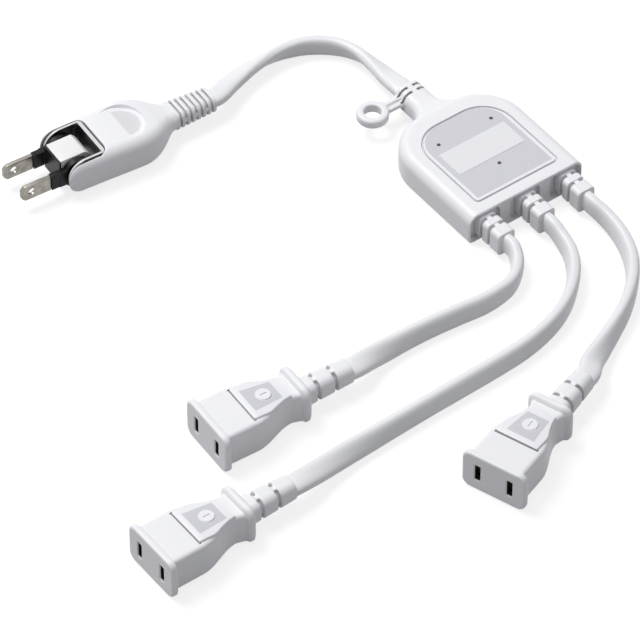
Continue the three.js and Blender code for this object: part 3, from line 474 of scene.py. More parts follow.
@dataclass(frozen=True)
class MouldedVinyl(Finish):
    """Soft white vinyl as it leaves the mould: satin, faintly mottled, with a fine skin.

    Grooves and inner corners get painted shade: the base colour darkens where the ambient occlusion of the
    piece's own mesh is low.
    """

    patch: Patch | None = None
    # Painted shade of the spark texture: the greyer colour of the textured areas.
    patch_painted_shade_colour: Colour = (0.68, 0.68, 0.705)
    slots: SlotShade | None = None
    slot_painted_shade: float = 0.97
    mottling: float = 0.03
    skin: float = 0.35
    swing: float = 0.12
    # Painted shade in crevices: how far the occlusion looks, the range it is read over, and how dark it
    # paints.
    crevice_reach: float = 2.2
    crevice_range: tuple[float, float] = (0.08, 0.66)
    crevice_painted_shade: float = 0.5
    # Painted shade along the texture's fine lines and grain.
    line_painted_shade: float = 0.1
    line_height: float = 0.5
    grain_painted_shade: float = 0.05
    grain_height: float = 0.9
    patch_roughness: float = 0.25
    line_pitch: float = 0.95
    line_depth: float = 0.05

    def dress(self, board: Board) -> dict[str, object]:
        """Skin grain, mottling, the spark texture, and painted shade in crevices, in the blade slots and
        along the texture's lines.

        Args:
            board: the node tree.

        Returns:
            The sockets that vary over the surface.
        """
        point = board.place()
        mottle = board.noise(point, 0.09, 3.0)
        # Painted shade: grooves and inner corners darken in the base colour by the mesh's own ambient
        # occlusion.
        closed = 1.0 - board.openness(self.crevice_reach).ramp(*self.crevice_range)
        shade = (1.0 - self.mottling / 2 + mottle * self.mottling) * (1.0 - closed * self.crevice_painted_shade)
        height = board.noise(point, 3.2, 3.0) * self.skin
        roughness = self.roughness + (board.noise(point, 0.4) - 0.5) * self.swing
        colour: Signal | Colour = self.colour
        # Painted shade: the walls of the blade slots are darkened almost to black.
        if self.slots is not None:
            shade = shade * (1.0 - self.slots.mask(board, point) * self.slot_painted_shade)
        # Painted shade of the spark texture: the textured area takes a greyer colour and darkens along its
        # fine lines and grain.
        if self.patch is not None:
            mask = self.patch.mask(board, point)
            x, y, _ = board.axes(point)
            line = ((x - y) * (2 * math.pi / self.line_pitch)).sine() * 0.5 + 0.5
            grain = board.noise(point, 5.5, 1.0)
            colour = board.blend(mask, self.colour, self.patch_painted_shade_colour)
            shade = shade * (1.0 - mask * (line * self.line_painted_shade + grain * self.grain_painted_shade))
            height = height + mask * (line * self.line_height + grain * self.grain_height)
            roughness = roughness + mask * self.patch_roughness
        return {
            "Base Color": board.shade(colour, shade),
            "Roughness": roughness,
            "Normal": board.bump(height, self.line_depth),
            "IOR": VINYL_INDEX,
        }


@dataclass(frozen=True)
class CordSheath(Finish):
    """Extruded vinyl sheath: smoother than the mouldings, with faint marks of handling."""

    mottling: float = 0.035
    swing: float = 0.16
    skin_depth: float = 0.02

    def dress(self, board: Board) -> dict[str, object]:
        """Mottling, a fine skin and handling scuffs.

        Args:
            board: the node tree.

        Returns:
            The sockets that vary over the surface.
        """
        point = board.place()
        mottle = board.noise(point, 0.05, 3.0)
        skin = board.noise(point, 1.6, 4.0)
        dull = tuple((1.0 - self.mottling) * c for c in self.colour)
        return {
            "Base Color": board.blend(mottle, self.colour, dull),
            "Roughness": self.roughness + (board.noise(point, 0.25) - 0.5) * self.swing,
            "Normal": board.bump(skin, self.skin_depth),
            "IOR": VINYL_INDEX,
        }


@dataclass(frozen=True)
class HardPlastic(Finish):
    """Injection-moulded hard plastic with a faint polish pattern."""

    grain: float = 0.01
    index: float = 1.5
    drift: float = 0.05
    swing: float = 0.18

    def dress(self, board: Board) -> dict[str, object]:
        """Polish marks and slight shade drift.

        Args:
            board: the node tree.

        Returns:
            The sockets that vary over the surface.
        """
        point = board.place()
        drift = board.noise(point, 0.15, 3.0)
        dull = tuple((1.0 - self.drift) * c for c in self.colour)
        return {
            "Base Color": board.blend(drift, dull, self.colour),
            "Roughness": self.roughness + (board.noise(point, 0.8, 3.0) - 0.5) * self.swing,
            "Normal": board.bump(board.noise(point, 2.4, 3.0), self.grain),
            "IOR": self.index,
        }


@dataclass(frozen=True)
class LinerPaintedShade(HardPlastic):
    """The liner's hard plastic with painted shade: black walls, standing for the shade in the gap and the
    cavity, under a light rim.
    """

    rim_outer: float = 9.42
    rim_inner: float = 8.62
    rim_rear: float = 21.22
    rim_front: float = 19.84
    # Painted shade: the walls' black stands for the shade in the gap round the liner and in the cavity behind
    # the head.
    wall: Colour = (0.012, 0.012, 0.013)
    edge: float = 0.06

    def dress(self, board: Board) -> dict[str, object]:
        """Paints the walls black as shade, leaving the light rim between the outer and the inner walls.

        Args:
            board: the node tree.

        Returns:
            The sockets that vary over the surface.
        """
        sockets = super().dress(board)
        x, y, _ = board.axes(board.place())
        across, e = abs(y), self.edge
        arm = across.ramp(self.rim_inner - e, self.rim_inner + e)
        rear = x.ramp(self.rim_front - e, self.rim_front + e)
        outside = across.ramp(self.rim_outer - e, self.rim_outer + e)
        outside = outside.at_least(x.ramp(self.rim_rear - e, self.rim_rear + e))
        rim = arm.at_least(rear) * (1.0 - outside)
        # Painted shade: black on the walls, the liner's own light colour on the rim.
        sockets["Base Color"] = board.blend(rim, self.wall, self.colour)
        return sockets


@dataclass(frozen=True)
class StampedMetal(Finish):
    """Stamped and plated sheet, with rolling lines along its length and light handling marks."""

    stretch: Colour = (0.06, 1.0, 1.0)
    tarnish: float = 0.4

    def dress(self, board: Board) -> dict[str, object]:
        """Rolling lines and tarnish.

        Args:
            board: the node tree.

        Returns:
            The sockets that vary over the surface.
        """
        point = board.place()
        drawn = board.node(
            "ShaderNodeVectorMath", {0: point, 1: self.stretch}, operation="MULTIPLY"
        )
        lines = board.noise(drawn, 4.0, 2.0)
        stain = board.noise(point, 0.35, 4.0).ramp(0.35, 0.75)
        dull = tuple(c * (1.0 - self.tarnish) for c in self.colour)
        return {
            "Base Color": board.blend(stain, self.colour, dull),
            "Roughness": self.roughness + lines * 0.12 + stain * 0.1,
            "Normal": board.bump(lines, 0.01),
        }


# Outlines

def rounded(
    width: float,
    height: float,
    radius: float,
    centre: tuple[float, float] = (0.0, 0.0),
    steps: int = 6,
) -> Outline:
    """A rounded rectangle, counter-clockwise.

    Args:
        width: along the first axis.
        height: along the second axis.
        radius: of the corners, limited by the sides.
        centre: of the rectangle.
        steps: of each corner's arc.

    Returns:
        The outline's points.
    """
    r = min(radius, width / 2 - 0.01, height / 2 - 0.01)
    points = []
    for turn, (sx, sy) in enumerate([(1, 1), (-1, 1), (-1, -1), (1, -1)]):
        for k in range(steps + 1):
            angle = math.radians(90 * (turn + k / steps))
            x = centre[0] + sx * (width / 2 - r) + r * math.cos(angle)
            points.append((x, centre[1] + sy * (height / 2 - r) + r * math.sin(angle)))
    return points


def circle(radius: float, centre: tuple[float, float] = (0.0, 0.0), sides: int = 48) -> Outline:
    """A circle.

    Args:
        radius: of the circle.
        centre: its middle.
        sides: of the polygon that stands for it.

    Returns:
        The outline's points.
    """
    turns = [2 * math.pi * k / sides for k in range(sides)]
    return [(centre[0] + radius * math.cos(t), centre[1] + radius * math.sin(t)) for t in turns]


def mix(low: float, high: float, share: float) -> float:
    """A value between low and high."""
    return low + (high - low) * share


def ease(share: float) -> float:
    """A smooth step over 0 to 1, held outside it."""
    t = min(max(share, 0.0), 1.0)
    return t * t * (3 - 2 * t)


class Form:
    """A closed mesh in the making, in millimetres; each method changes it in place and returns it."""

    def __init__(self, points: Sequence[Vector], faces: Sequence[Sequence[int]]) -> None:
        """Makes the mesh and turns its faces outwards.

        Args:
            points: the corners.
            faces: each face's corners, by number.
        """
        mesh = bpy.data.meshes.new("form")
        mesh.from_pydata(points, [], faces)
        work = bmesh.new()
        work.from_mesh(mesh)
        bmesh.ops.recalc_face_normals(work, faces=work.faces)
        work.to_mesh(mesh)
        work.free()
        self.thing = bpy.data.objects.new("form", mesh)
        bpy.context.scene.collection.objects.link(self.thing)

    @classmethod
    def loft(cls, layers: Sequence[Layer], axis: Axis) -> Form:
        """A closed skin over outlines of equal point count.

        Args:
            layers: the outlines with their heights, in order.
            axis: the direction that they are stacked in.

        Returns:
            The new form.
        """
        count = len(layers[0][1])
        points = [axis.point(a, b, at) for at, outline in layers for a, b in outline]
        faces: list[Sequence[int]] = []
        for row in range(0, (len(layers) - 1) * count, count):
            for i in range(count):
                j = (i + 1) % count
                faces.append((row + i, row + j, row + count + j, row + count + i))
        last = (len(layers) - 1) * count
        faces.append(list(range(count)))
        faces.append([last + i for i in range(count)])
        return cls(points, faces)

    @classmethod
    def prism(cls, outline: Outline, start: float, end: float, axis: Axis = Axis.Z) -> Form:
        """An outline between two heights."""
        return cls.loft([(start, outline), (end, outline)], axis)

    @classmethod
    def box(cls, x0: float, x1: float, y0: float, y1: float, z0: float, z1: float) -> Form:
        """A block between two corners."""
        return cls.prism([(x0, y0), (x1, y0), (x1, y1), (x0, y1)], z0, z1)

    @classmethod
    def pin(
        cls,
        radius: float,
        centre: tuple[float, float],
        start: float,
        end: float,
        axis: Axis = Axis.Z,
        edge: float = 0.0,
        sides: int = 48,
    ) -> Form:
        """A cylinder, with chamfered ends where edge isn't 0.

        Args:
            radius: of the cylinder.
            centre: of its section, across the axis.
            start: where it begins along the axis.
            end: where it ends.
            axis: its direction.
            edge: the chamfer of both ends.
            sides: of the section.

        Returns:
            The new form.
        """
        stops = [(start, radius), (end, radius)]
        if edge:
            small = radius - edge
            stops = [(start, small), (start + edge, radius), (end - edge, radius), (end, small)]
        return cls.loft([(at, circle(r, centre, sides)) for at, r in stops], axis)

    @classmethod
    def bar(cls, stations: Sequence[Station], radius: float, steps: int = 6) -> Form:
        """A straight bar along +X through rounded sections."""
        layers = [(s.x, rounded(s.width, s.height, radius, (0.0, s.z), steps)) for s in stations]
        return cls.loft(layers, Axis.X)

    def _settle(self) -> Form:
        """Applies the modifiers.

        Returns:
            The form.
        """
        graph = bpy.context.evaluated_depsgraph_get()
        shaped = bpy.data.meshes.new_from_object(self.thing.evaluated_get(graph))
        self.thing.modifiers.clear()
        old, self.thing.data = self.thing.data, shaped
        bpy.data.meshes.remove(old)
        return self

    def _combine(self, operation: str, tools: Sequence[Form]) -> Form:
        """Joins, cuts or limits the form by others, which are used up.

        Args:
            operation: the boolean's name.
            tools: the other forms.

        Returns:
            The changed form.
        """
        for tool in tools:
            step = self.thing.modifiers.new("step", "BOOLEAN")
            step.operation = operation
            step.solver = "MANIFOLD"
            step.object = tool.thing
        self._settle()
        for tool in tools:
            tool.discard()
        return self

    def add(self, *others: Form) -> Form:
        """Joins others to the form."""
        return self._combine("UNION", others)

    def cut(self, *others: Form) -> Form:
        """Cuts others from the form."""
        return self._combine("DIFFERENCE", others)

    def within(self, *others: Form) -> Form:
        """Keeps what lies inside others."""
        return self._combine("INTERSECT", others)

    def soften(self, voxel: float, rounds: int, share: float) -> Form:
        """Rounds the form as soft vinyl is, by a fine even skin that is smoothed and thinned.

        Args:
            voxel: the skin's spacing.
            rounds: of smoothing.
            share: of the triangles that stay.

        Returns:
            The changed form.
        """
        skin = self.thing.modifiers.new("skin", "REMESH")
        skin.mode = "VOXEL"
        skin.voxel_size = voxel
        smooth = self.thing.modifiers.new("smooth", "SMOOTH")
        smooth.factor = 0.5
        smooth.iterations = rounds
        thin = self.thing.modifiers.new("thin", "DECIMATE")
        thin.ratio = share
        return self._settle()

    def bevel(self, width: float, segments: int = 3) -> Form:
        """Rounds the sharp edges of a crisp form.

        Args:
            width: of the rounding.
            segments: across it.

        Returns:
            The changed form.
        """
        edge = self.thing.modifiers.new("edge", "BEVEL")
        edge.width = width
        edge.segments = segments
        edge.limit_method = "ANGLE"
        edge.angle_limit = math.radians(32)
        return self._settle()

    def turned(self, degrees: float) -> Form:
        """Turns the form about +Z."""
        self.thing.data.transform(Matrix.Rotation(math.radians(degrees), 4, "Z"))
        return self

    def moved(self, x: float, y: float, z: float) -> Form:
        """Shifts the form."""
        self.thing.data.transform(Matrix.Translation((x, y, z)))
        return self

    def discard(self) -> None:
        """Removes the form and its mesh."""
        mesh = self.thing.data
        bpy.data.objects.remove(self.thing)
        bpy.data.meshes.remove(mesh)

    def mesh(self, name: str, sharp: float = 40.0) -> bpy.types.Mesh:
        """Ends the form as a shaded mesh in metres.

        Args:
            name: the mesh's name.
            sharp: the angle between faces from which an edge stays sharp, in degrees.

        Returns:
            The mesh; the form is used up.
        """
        mesh = self.thing.data
        mesh.name = name
        mesh.transform(Matrix.Scale(MM, 4))
        mesh.materials.clear()
        mesh.polygons.foreach_set("use_smooth", [True] * len(mesh.polygons))
        mesh.set_sharp_from_angle(angle=math.radians(sharp))
        bpy.data.objects.remove(self.thing)
        return mesh


@dataclass(frozen=True)
class Station:
    """A section of a bar: its place along +X, its size and its centre's height."""

    x: float
    width: float
    height: float
    z: float

    def trimmed(self, depth: float) -> Station:
        """The section made smaller by depth all round."""
        return Station(self.x, self.width - 2 * depth, self.height - 2 * depth, self.z)


@dataclass(frozen=True)
class Place:
    """Where a plug or socket lies: its front face's point in millimetres, and its length's heading."""

    x: float
    y: float
    heading: float

    def matrix(self) -> Matrix:
        """The piece's matrix in metres."""
        shift = Matrix.Translation((self.x * MM, self.y * MM, 0.0))
        return shift @ Matrix.Rotation(math.radians(self.heading), 4, "Z")

    def point(self, along: float, z: float) -> tuple[float, float, float]:
        """A point on the length axis, in metres."""
        return tuple(self.matrix() @ Vector((along * MM, 0.0, z * MM)))


def install(
    mesh: bpy.types.Mesh,
    name: str,
    finish: bpy.types.Material,
    nodes: Sequence[str],
    body: Body = Body.ROOT,
    matrix: Matrix | None = None,
) -> bpy.types.Object:
    """Puts a finished mesh into the scene for the solids that it stands for.

    Args:
        mesh: in metres.
        name: the piece's name.
        finish: its material.
        nodes: the solids that it replaces.
        body: the body that it rides on.
        matrix: its place, where it isn't the frame's own.

    Returns:
        The piece.
    """
    if not mesh.materials:
        mesh.materials.append(finish)
    piece = bpy.data.objects.new(name, mesh)
    bpy.context.scene.collection.objects.link(piece)
    if matrix is not None:
        piece.matrix_world = matrix
    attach(piece, body.value)
    if nodes:
        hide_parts(*nodes)
    log.info("%s: %d faces on %s", name, len(mesh.polygons), body.value)
    return piece


@dataclass
class Studio:
    """Camera, lamp, world and floor."""

    camera_from: Colour = (-0.8954, -1.1094, 1.3924)
    camera_to: Colour = (-0.0890, -0.0275, 0.0)
    lens: float = 315.45
    sensor: float = 36.0
    lamp_from: Colour = (-0.37, 0.87, 1.767)
    lamp_watts: float = 30.0
    lamp_size: float = 1.0
    sky: Colour = (0.400, 0.405, 0.430)
    sky_strength: float = 0.91
    floor_size: float = 6.0
    floor_low: float = 0.0002
    floor_glow: float = 0.78
    floor_white: float = 0.3
    floor_bounce: float = 0.34

    def build(self) -> None:
        """Sets up the whole studio."""
        bpy.context.scene.view_settings.view_transform = "Standard"
        self._camera()
        self._lamp()
        self._world()
        self._floor()
        log.info("studio ready")

    def _camera(self) -> None:
        """The photograph's long view from the front left."""
        data = bpy.data.cameras.new("camera")
        data.sensor_width = self.sensor
        data.lens = self.lens
        data.clip_end = 20.0
        camera = bpy.data.objects.new("camera", data)
        camera.location = self.camera_from
        sight = Vector(self.camera_to) - Vector(self.camera_from)
        camera.rotation_euler = sight.to_track_quat("-Z", "Y").to_euler()
        bpy.context.scene.collection.objects.link(camera)
        bpy.context.scene.camera = camera

    def _lamp(self) -> None:
        """A soft box behind and to the left."""
        data = bpy.data.lights.new("soft_box", "AREA")
        data.energy = self.lamp_watts
        data.size = self.lamp_size
        lamp = bpy.data.objects.new("soft_box", data)
        lamp.location = self.lamp_from
        sight = Vector(self.camera_to) - Vector(self.lamp_from)
        lamp.rotation_euler = sight.to_track_quat("-Z", "Y").to_euler()
        bpy.context.scene.collection.objects.link(lamp)

    def _seen(self, board: Board) -> Signal:
        """1 for rays that look at the background itself or see it in gloss or glass.

        Args:
            board: the node tree.

        Returns:
            1 for those rays, 0 for the light that falls on the object.
        """
        path = board.node("ShaderNodeLightPath", output="Is Camera Ray")
        seen = path + path.sibling("Is Glossy Ray") + path.sibling("Is Transmission Ray")
        return seen.at_most(1.0)

    def _world(self) -> None:
        """Even sky light, white where it is seen."""
        world = bpy.data.worlds.new("studio")
        world.use_nodes = True
        bpy.context.scene.world = world
        board = Board(world.node_tree)
        light = board.node("ShaderNodeBackground", {"Color": (*self.sky, 1.0), "Strength": self.sky_strength})
        white = board.node("ShaderNodeBackground", {"Color": (1.0, 1.0, 1.0, 1.0), "Strength": 1.0})
        both = board.node("ShaderNodeMixShader", {0: self._seen(board), 1: light, 2: white})
        end = board.tree.nodes.new("ShaderNodeOutputWorld")
        board.tree.links.new(both.socket, end.inputs["Surface"])

    def _floor(self) -> None:
        """A pale floor that reads white and keeps the object's soft shadow."""
        half = self.floor_size / 2
        mesh = bpy.data.meshes.new("floor")
        corners = [(-half, -half), (half, -half), (half, half), (-half, half)]
        mesh.from_pydata([(x, y, -self.floor_low) for x, y in corners], [], [(0, 1, 2, 3)])
        material = bpy.data.materials.new("floor_paper")
        material.use_nodes = True
        board = Board(material.node_tree)
        bounce = board.node("ShaderNodeBsdfDiffuse", {"Color": (*[self.floor_bounce] * 3, 1.0)})
        paper = board.node("ShaderNodeBsdfDiffuse", {"Color": (*[self.floor_white] * 3, 1.0)})
        glow = board.node("ShaderNodeEmission", {"Color": (1.0, 1.0, 1.0, 1.0), "Strength": self.floor_glow})
        shown = board.node("ShaderNodeAddShader", {0: paper, 1: glow})
        close(board, board.node("ShaderNodeMixShader", {0: self._seen(board), 1: bounce, 2: shown}))
        mesh.materials.append(material)
        floor = bpy.data.objects.new("floor", mesh)
        bpy.context.scene.collection.objects.link(floor)


# Cords

@dataclass
class FlatCord:
    """A flat twin cord along a route of (x, y, z, roll), in metres and degrees.

    Roll 0 lays the wide axis level. The route is the solids' own.
    """

    name: str
    node: str
    route: Sequence[tuple[float, float, float, float]]
    far_end: str
    exit_last: bool = False
    width: float = 0.0082
    thickness: float = 0.0046
    fullness: float = 0.75
    sides: int = 48
    step: float = 0.0009
    tuck: float = 0.0011

    def _samples(self) -> list[tuple[Vector, float]]:
        """Points and rolls along the centripetal spline through the route.

        Returns:
            The samples, about a step apart.
        """
        points = [Vector(stop[:3]) for stop in self.route]
        rolls = [stop[3] for stop in self.route]
        ends = [2 * points[0] - points[1], *points, 2 * points[-1] - points[-2]]
        samples = []
        for k in range(len(points) - 1):
            p = ends[k:k + 4]
            knots = [0.0]
            for a, b in zip(p, p[1:]):
                knots.append(knots[-1] + math.sqrt((b - a).length))
            count = max(2, round((p[2] - p[1]).length / self.step))
            for i in range(count):
                share = i / count
                t = mix(knots[1], knots[2], share)
                samples.append((self._spline(p, knots, t), mix(rolls[k], rolls[k + 1], share)))
        samples.append((points[-1], rolls[-1]))
        return samples

    @staticmethod
    def _spline(p: Sequence[Vector], knots: Sequence[float], t: float) -> Vector:
        """A point of the centripetal Catmull-Rom spline.

        Args:
            p: four control points.
            knots: their knots.
            t: the parameter, between the middle two knots.

        Returns:
            The point.
        """
        rows = list(p)
        for level in (1, 2):
            for i in range(4 - level):
                share = (t - knots[i]) / (knots[i + level] - knots[i])
                rows[i] = rows[i].lerp(rows[i + 1], share)
        return rows[0].lerp(rows[1], (t - knots[1]) / (knots[2] - knots[1]))

    def build(self, finish: bpy.types.Material) -> bpy.types.Object:
        """Sweeps the flat section along the route.

        Args:
            finish: the sheath's material.

        Returns:
            The cord's piece; its centreline is kept for declare.
        """
        samples = self._samples()
        ahead = (samples[1][0] - samples[0][0]).normalized()
        behind = (samples[-1][0] - samples[-2][0]).normalized()
        samples.insert(0, (samples[0][0] - ahead * self.tuck, samples[0][1]))
        samples.append((samples[-1][0] + behind * self.tuck, samples[-1][1]))
        self.centreline = [point for point, _ in samples]
        rolls = self._eased([roll for _, roll in samples])
        vertices: list[Vector] = []
        for k, point in enumerate(self.centreline):
            before = self.centreline[max(k - 1, 0)]
            after = self.centreline[min(k + 1, len(samples) - 1)]
            tangent = (after - before).normalized()
            level = Vector((0.0, 0.0, 1.0)).cross(tangent).normalized()
            wide = Matrix.Rotation(math.radians(rolls[k]), 3, tangent) @ level
            narrow = tangent.cross(wide)
            vertices.extend(point + wide * a + narrow * b for a, b in self._section())
        n = self.sides
        rows = len(samples)
        faces: list[Sequence[int]] = [
            (r * n + i, r * n + (i + 1) % n, (r + 1) * n + (i + 1) % n, (r + 1) * n + i)
            for r in range(rows - 1)
            for i in range(n)
        ]
        faces.append(list(reversed(range(n))))
        faces.append([(rows - 1) * n + i for i in range(n)])
        mesh = bpy.data.meshes.new(self.name)
        mesh.from_pydata(vertices, [], faces)
        mesh.polygons.foreach_set("use_smooth", [True] * len(mesh.polygons))
        mesh.set_sharp_from_angle(angle=math.radians(50))
        return install(mesh, self.name, finish, [self.node])

    def _eased(self, rolls: Sequence[float], reach: int = 6) -> list[float]:
        """The rolls with their corners rounded off.

        Args:
            rolls: one for each sample.
            reach: how many samples the running mean takes in on either side.

        Returns:
            The eased rolls.
        """
        last = len(rolls) - 1
        windows = [rolls[max(k - reach, 0):min(k + reach, last) + 1] for k in range(len(rolls))]
        return [sum(window) / len(window) for window in windows]

    def _section(self) -> Outline:
        """The flat section's points: wide axis, narrow axis.

        Returns:
            The outline, in metres.
        """
        points = []
        for i in range(self.sides):
            angle = 2 * math.pi * (i + 0.5) / self.sides
            c, s = math.cos(angle), math.sin(angle)
            a = math.copysign(abs(c) ** self.fullness, c) * self.width / 2
            points.append((a, math.copysign(abs(s) ** self.fullness, s) * self.thickness / 2))
        return points

    def declare(self, piece: bpy.types.Object, with_pieces: Sequence[object]) -> None:
        """States the cord's real length.

        Args:
            piece: the cord's piece; not used.
            with_pieces: the pieces on the cord; not used.
        """
        path = list(reversed(self.centreline)) if self.exit_last else list(self.centreline)
        length = sum((b - a).length for a, b in zip(path, path[1:]))
        log.info("%s: %.1f mm long", self.name, length / MM)


# Junction box

@dataclass
class JunctionBox:
    """The moulded box with its inlet neck and hanging loop, in millimetres."""

    width: float = 50.3
    height: float = 12.7
    front: float = -29.3
    rear: float = 24.2
    rear_radius: float = 18.6
    top_radius: float = 4.0
    foot_radius: float = 1.5
    wall: float = 2.3
    panel_side: float = 6.6
    panel_front: float = 4.6
    panel_rear: float = 8.6
    panel_radius: float = 12.5
    panel_corner: float = 1.6
    panel_land: float = 1.1
    groove_width: float = 0.85
    groove_depth: float = 0.7
    groove_slope: float = 0.18
    label_width: float = 29.0
    label_depth: float = 12.4
    label_y: float = -3.8
    label_rise: float = 0.2
    pin_hole: float = 1.5
    hood_lip: float = 1.0
    hood_depth: float = 0.6
    bay_width: float = 13.4
    bay_height: float = 10.2
    bay_radius: float = 2.6
    bay_depth: float = 1.6
    pitch: float = 17.8
    outlet_z: float = 6.0
    front_wall: float = 3.0
    cavity_length: float = 36.0
    neck_z: float = 6.3
    neck_length: float = 16.0
    neck_width: float = 10.4
    neck_height: float = 9.4
    flare_width: float = 20.0
    flare_height: float = 11.6
    neck_groove: float = 1.1
    neck_groove_depth: float = 1.5
    neck_groove_pitch: float = 2.7
    bridge: float = 2.0
    loop_x: float = -17.2
    loop_y: float = 37.4
    loop_z: float = 7.2
    loop_radius: float = 5.9
    loop_hole: float = 3.2
    loop_thickness: float = 3.8
    web_width: float = 5.2
    web_thickness: float = 1.8
    web_rib: float = 1.2
    overrun: float = 6.0
    gap: float = 0.3
    stem: tuple[float, float] = (5.8, 6.2)
    pin_holes: tuple[tuple[float, float], ...] = ((-11.2, 6.7), (12.0, 6.4), (0.4, -13.3))

    @property
    def side(self) -> float:
        """Half the box's width."""
        return self.width / 2

    @property
    def bay_floor(self) -> float:
        """The y of the bays' floors."""
        return self.front + self.hood_depth + self.bay_depth

    @property
    def neck_end(self) -> float:
        """The y of the neck's end."""
        return self.rear + self.neck_length

    @property
    def outlets(self) -> list[float]:
        """The x of each outlet."""
        return [-self.pitch, 0.0, self.pitch]

    def _plan(self, inset: float, front: float, steps: int = 28) -> Outline:
        """The box's plan, square in front and round behind.

        Args:
            inset: how far the plan shrinks.
            front: the y of its front edge.
            steps: of each rear corner.

        Returns:
            The outline's points.
        """
        side = self.side - inset
        radius = self.rear_radius - inset
        points = [(-side, front), (side, front)]
        for sign, start in ((1, 0), (-1, 90)):
            for k in range(steps + 1):
                angle = math.radians(start + 90 * k / steps)
                x = sign * (side - radius) + radius * math.cos(angle)
                points.append((x, self.rear - inset - radius + radius * math.sin(angle)))
        return points

    def _block(self, front: float, shrink: float = 0.0) -> Form:
        """The box's block with a rounded foot and top.

        Args:
            front: the y of its front.
            shrink: how far it is offset inwards.

        Returns:
            The form.
        """
        layers = []
        foot = max(self.foot_radius - shrink, 0.3)
        top = max(self.top_radius - shrink, 0.3)
        for k in range(6):
            a = math.radians(18 * k)
            at = shrink + foot * (1 - math.cos(a))
            layers.append((at, self._plan(shrink + foot * (1 - math.sin(a)), front)))
        for k in range(11):
            a = math.radians(9 * k)
            at = self.height - shrink - top + top * math.sin(a)
            layers.append((at, self._plan(shrink + top * (1 - math.cos(a)), front)))
        return Form.loft(layers, Axis.Z)

    def _panel(self, inset: float, steps: int = 16) -> Outline:
        """The panel's plan.

        Args:
            inset: how far it shrinks.
            steps: of each rear corner.

        Returns:
            The outline's points.
        """
        half = self.side - self.panel_side - inset
        front = self.front + self.panel_front + inset
        rear = self.rear - self.panel_rear - inset
        r = self.panel_radius - inset
        c = self.panel_corner - inset * 0.4
        points = [(-half, front + c), (-half + c * 0.3, front + c * 0.3), (-half + c, front)]
        points += [(half - c, front), (half - c * 0.3, front + c * 0.3), (half, front + c)]
        for sign, start in ((1, 0), (-1, 90)):
            for k in range(steps + 1):
                angle = math.radians(start + 90 * k / steps)
                points.append((sign * (half - r) + r * math.cos(angle), rear - r + r * math.sin(angle)))
        return points

    def _neck(self) -> Form:
        """The inlet neck along +X, flared into the box.

        Returns:
            The form.
        """
        stops = [(-5.0, 1.0), (-2.0, 0.9), (-0.4, 0.72), (0.5, 0.52), (1.4, 0.34), (2.4, 0.21), (3.4, 0.12)]
        stops += [(4.7, 0.04), (6.0, 0.0), (self.neck_length, 0.0)]
        stations = [
            Station(
                self.rear + x,
                mix(self.neck_width, self.flare_width, share),
                mix(self.neck_height, self.flare_height, share),
                self.neck_z,
            )
            for x, share in stops
        ]
        return Form.bar(stations, 3.2, 8)

    def _neck_grooves(self) -> list[Form]:
        """Two rings of grooves with a bridge at the top, the bottom and each side.

        Returns:
            The cutters, turned to the neck's direction.
        """
        cutters = []
        w, h = self.neck_width / 2, self.neck_height / 2
        b, d = self.bridge / 2, self.neck_groove_depth
        for k in (1, 2):
            x1 = self.neck_end - self.neck_groove_pitch * k + self.neck_groove
            x0 = x1 - self.neck_groove
            for side in (-1, 1):
                y0, y1 = sorted((side * b, side * (w + 1)))
                s0, s1 = sorted((side * (w - d), side * (w + 1)))
                z = self.neck_z
                cutters.append(Form.box(x0, x1, y0, y1, z + h - d, z + h + 1))
                cutters.append(Form.box(x0, x1, y0, y1, z - h - 1, z - h + d))
                cutters.append(Form.box(x0, x1, s0, s1, z + b, z + h + 1))
                cutters.append(Form.box(x0, x1, s0, s1, z - h - 1, z - b))
        return [cutter.turned(90) for cutter in cutters]

    def _loop(self) -> list[Form]:
        """The hanging loop's ring, web and rib.

        Returns:
            The forms.
        """
        z0 = self.loop_z - self.loop_thickness / 2
        z1 = self.loop_z + self.loop_thickness / 2
        x0 = self.loop_x + (self.loop_radius + self.loop_hole) / 2
        x1 = 1 - self.neck_width / 2
        web, half, rib = self.web_width / 2, self.web_thickness / 2, self.web_rib / 2
        y, z = self.loop_y, self.loop_z
        return [
            Form.pin(self.loop_radius, (self.loop_x, y), z0, z1, edge=0.7, sides=64),
            Form.box(x0, x1, y - web, y + web, z - half, z + half),
            Form.box(x0, x1, y - rib, y + rib, z0, z1),
        ]

    def form(self) -> Form:
        """The whole moulding.

        Returns:
            The form in the part's frame.
        """
        body = self._block(self.front - self.overrun)
        body.cut(Form.box(-REACH, REACH, self.front - REACH, self.front, -1, REACH))
        body.add(self._neck().turned(90), *self._loop())
        half = self.side - self.wall
        cavity_front = self.bay_floor + self.front_wall
        hole = Form.pin(self.loop_hole, (self.loop_x, self.loop_y), -1, 30, sides=64)
        grooves = self._neck_grooves()
        body.cut(hole)
        body.soften(0.34, 7, 0.55)
        top = self.height - self.wall
        room = Form.box(-half, half, cavity_front, cavity_front + self.cavity_length, self.wall, top)
        body.cut(room, *grooves)
        pins = [Form.pin(self.pin_hole / 2, at, top - 1, self.height + 1, sides=32) for at in self.pin_holes]
        body.cut(*pins)
        body.cut(self._panel_groove())
        hood = self._block(self.front - self.overrun, self.hood_lip)
        lip = Form.box(-REACH, REACH, self.front - 1, self.front + self.hood_depth, -1, REACH)
        body.cut(hood.within(lip))
        body.add(self._label())
        for x in self.outlets:
            bay = rounded(self.bay_width, self.bay_height, self.bay_radius, (x, self.outlet_z))
            stem_width, stem_height = (side + 2 * self.gap for side in self.stem)
            stem = rounded(stem_width, stem_height, 1.5, (x, self.outlet_z))
            body.cut(
                Form.prism(bay, self.front - 1, self.bay_floor, Axis.Y),
                Form.prism(stem, self.bay_floor - 1, cavity_front + 1, Axis.Y),
            )
        return body

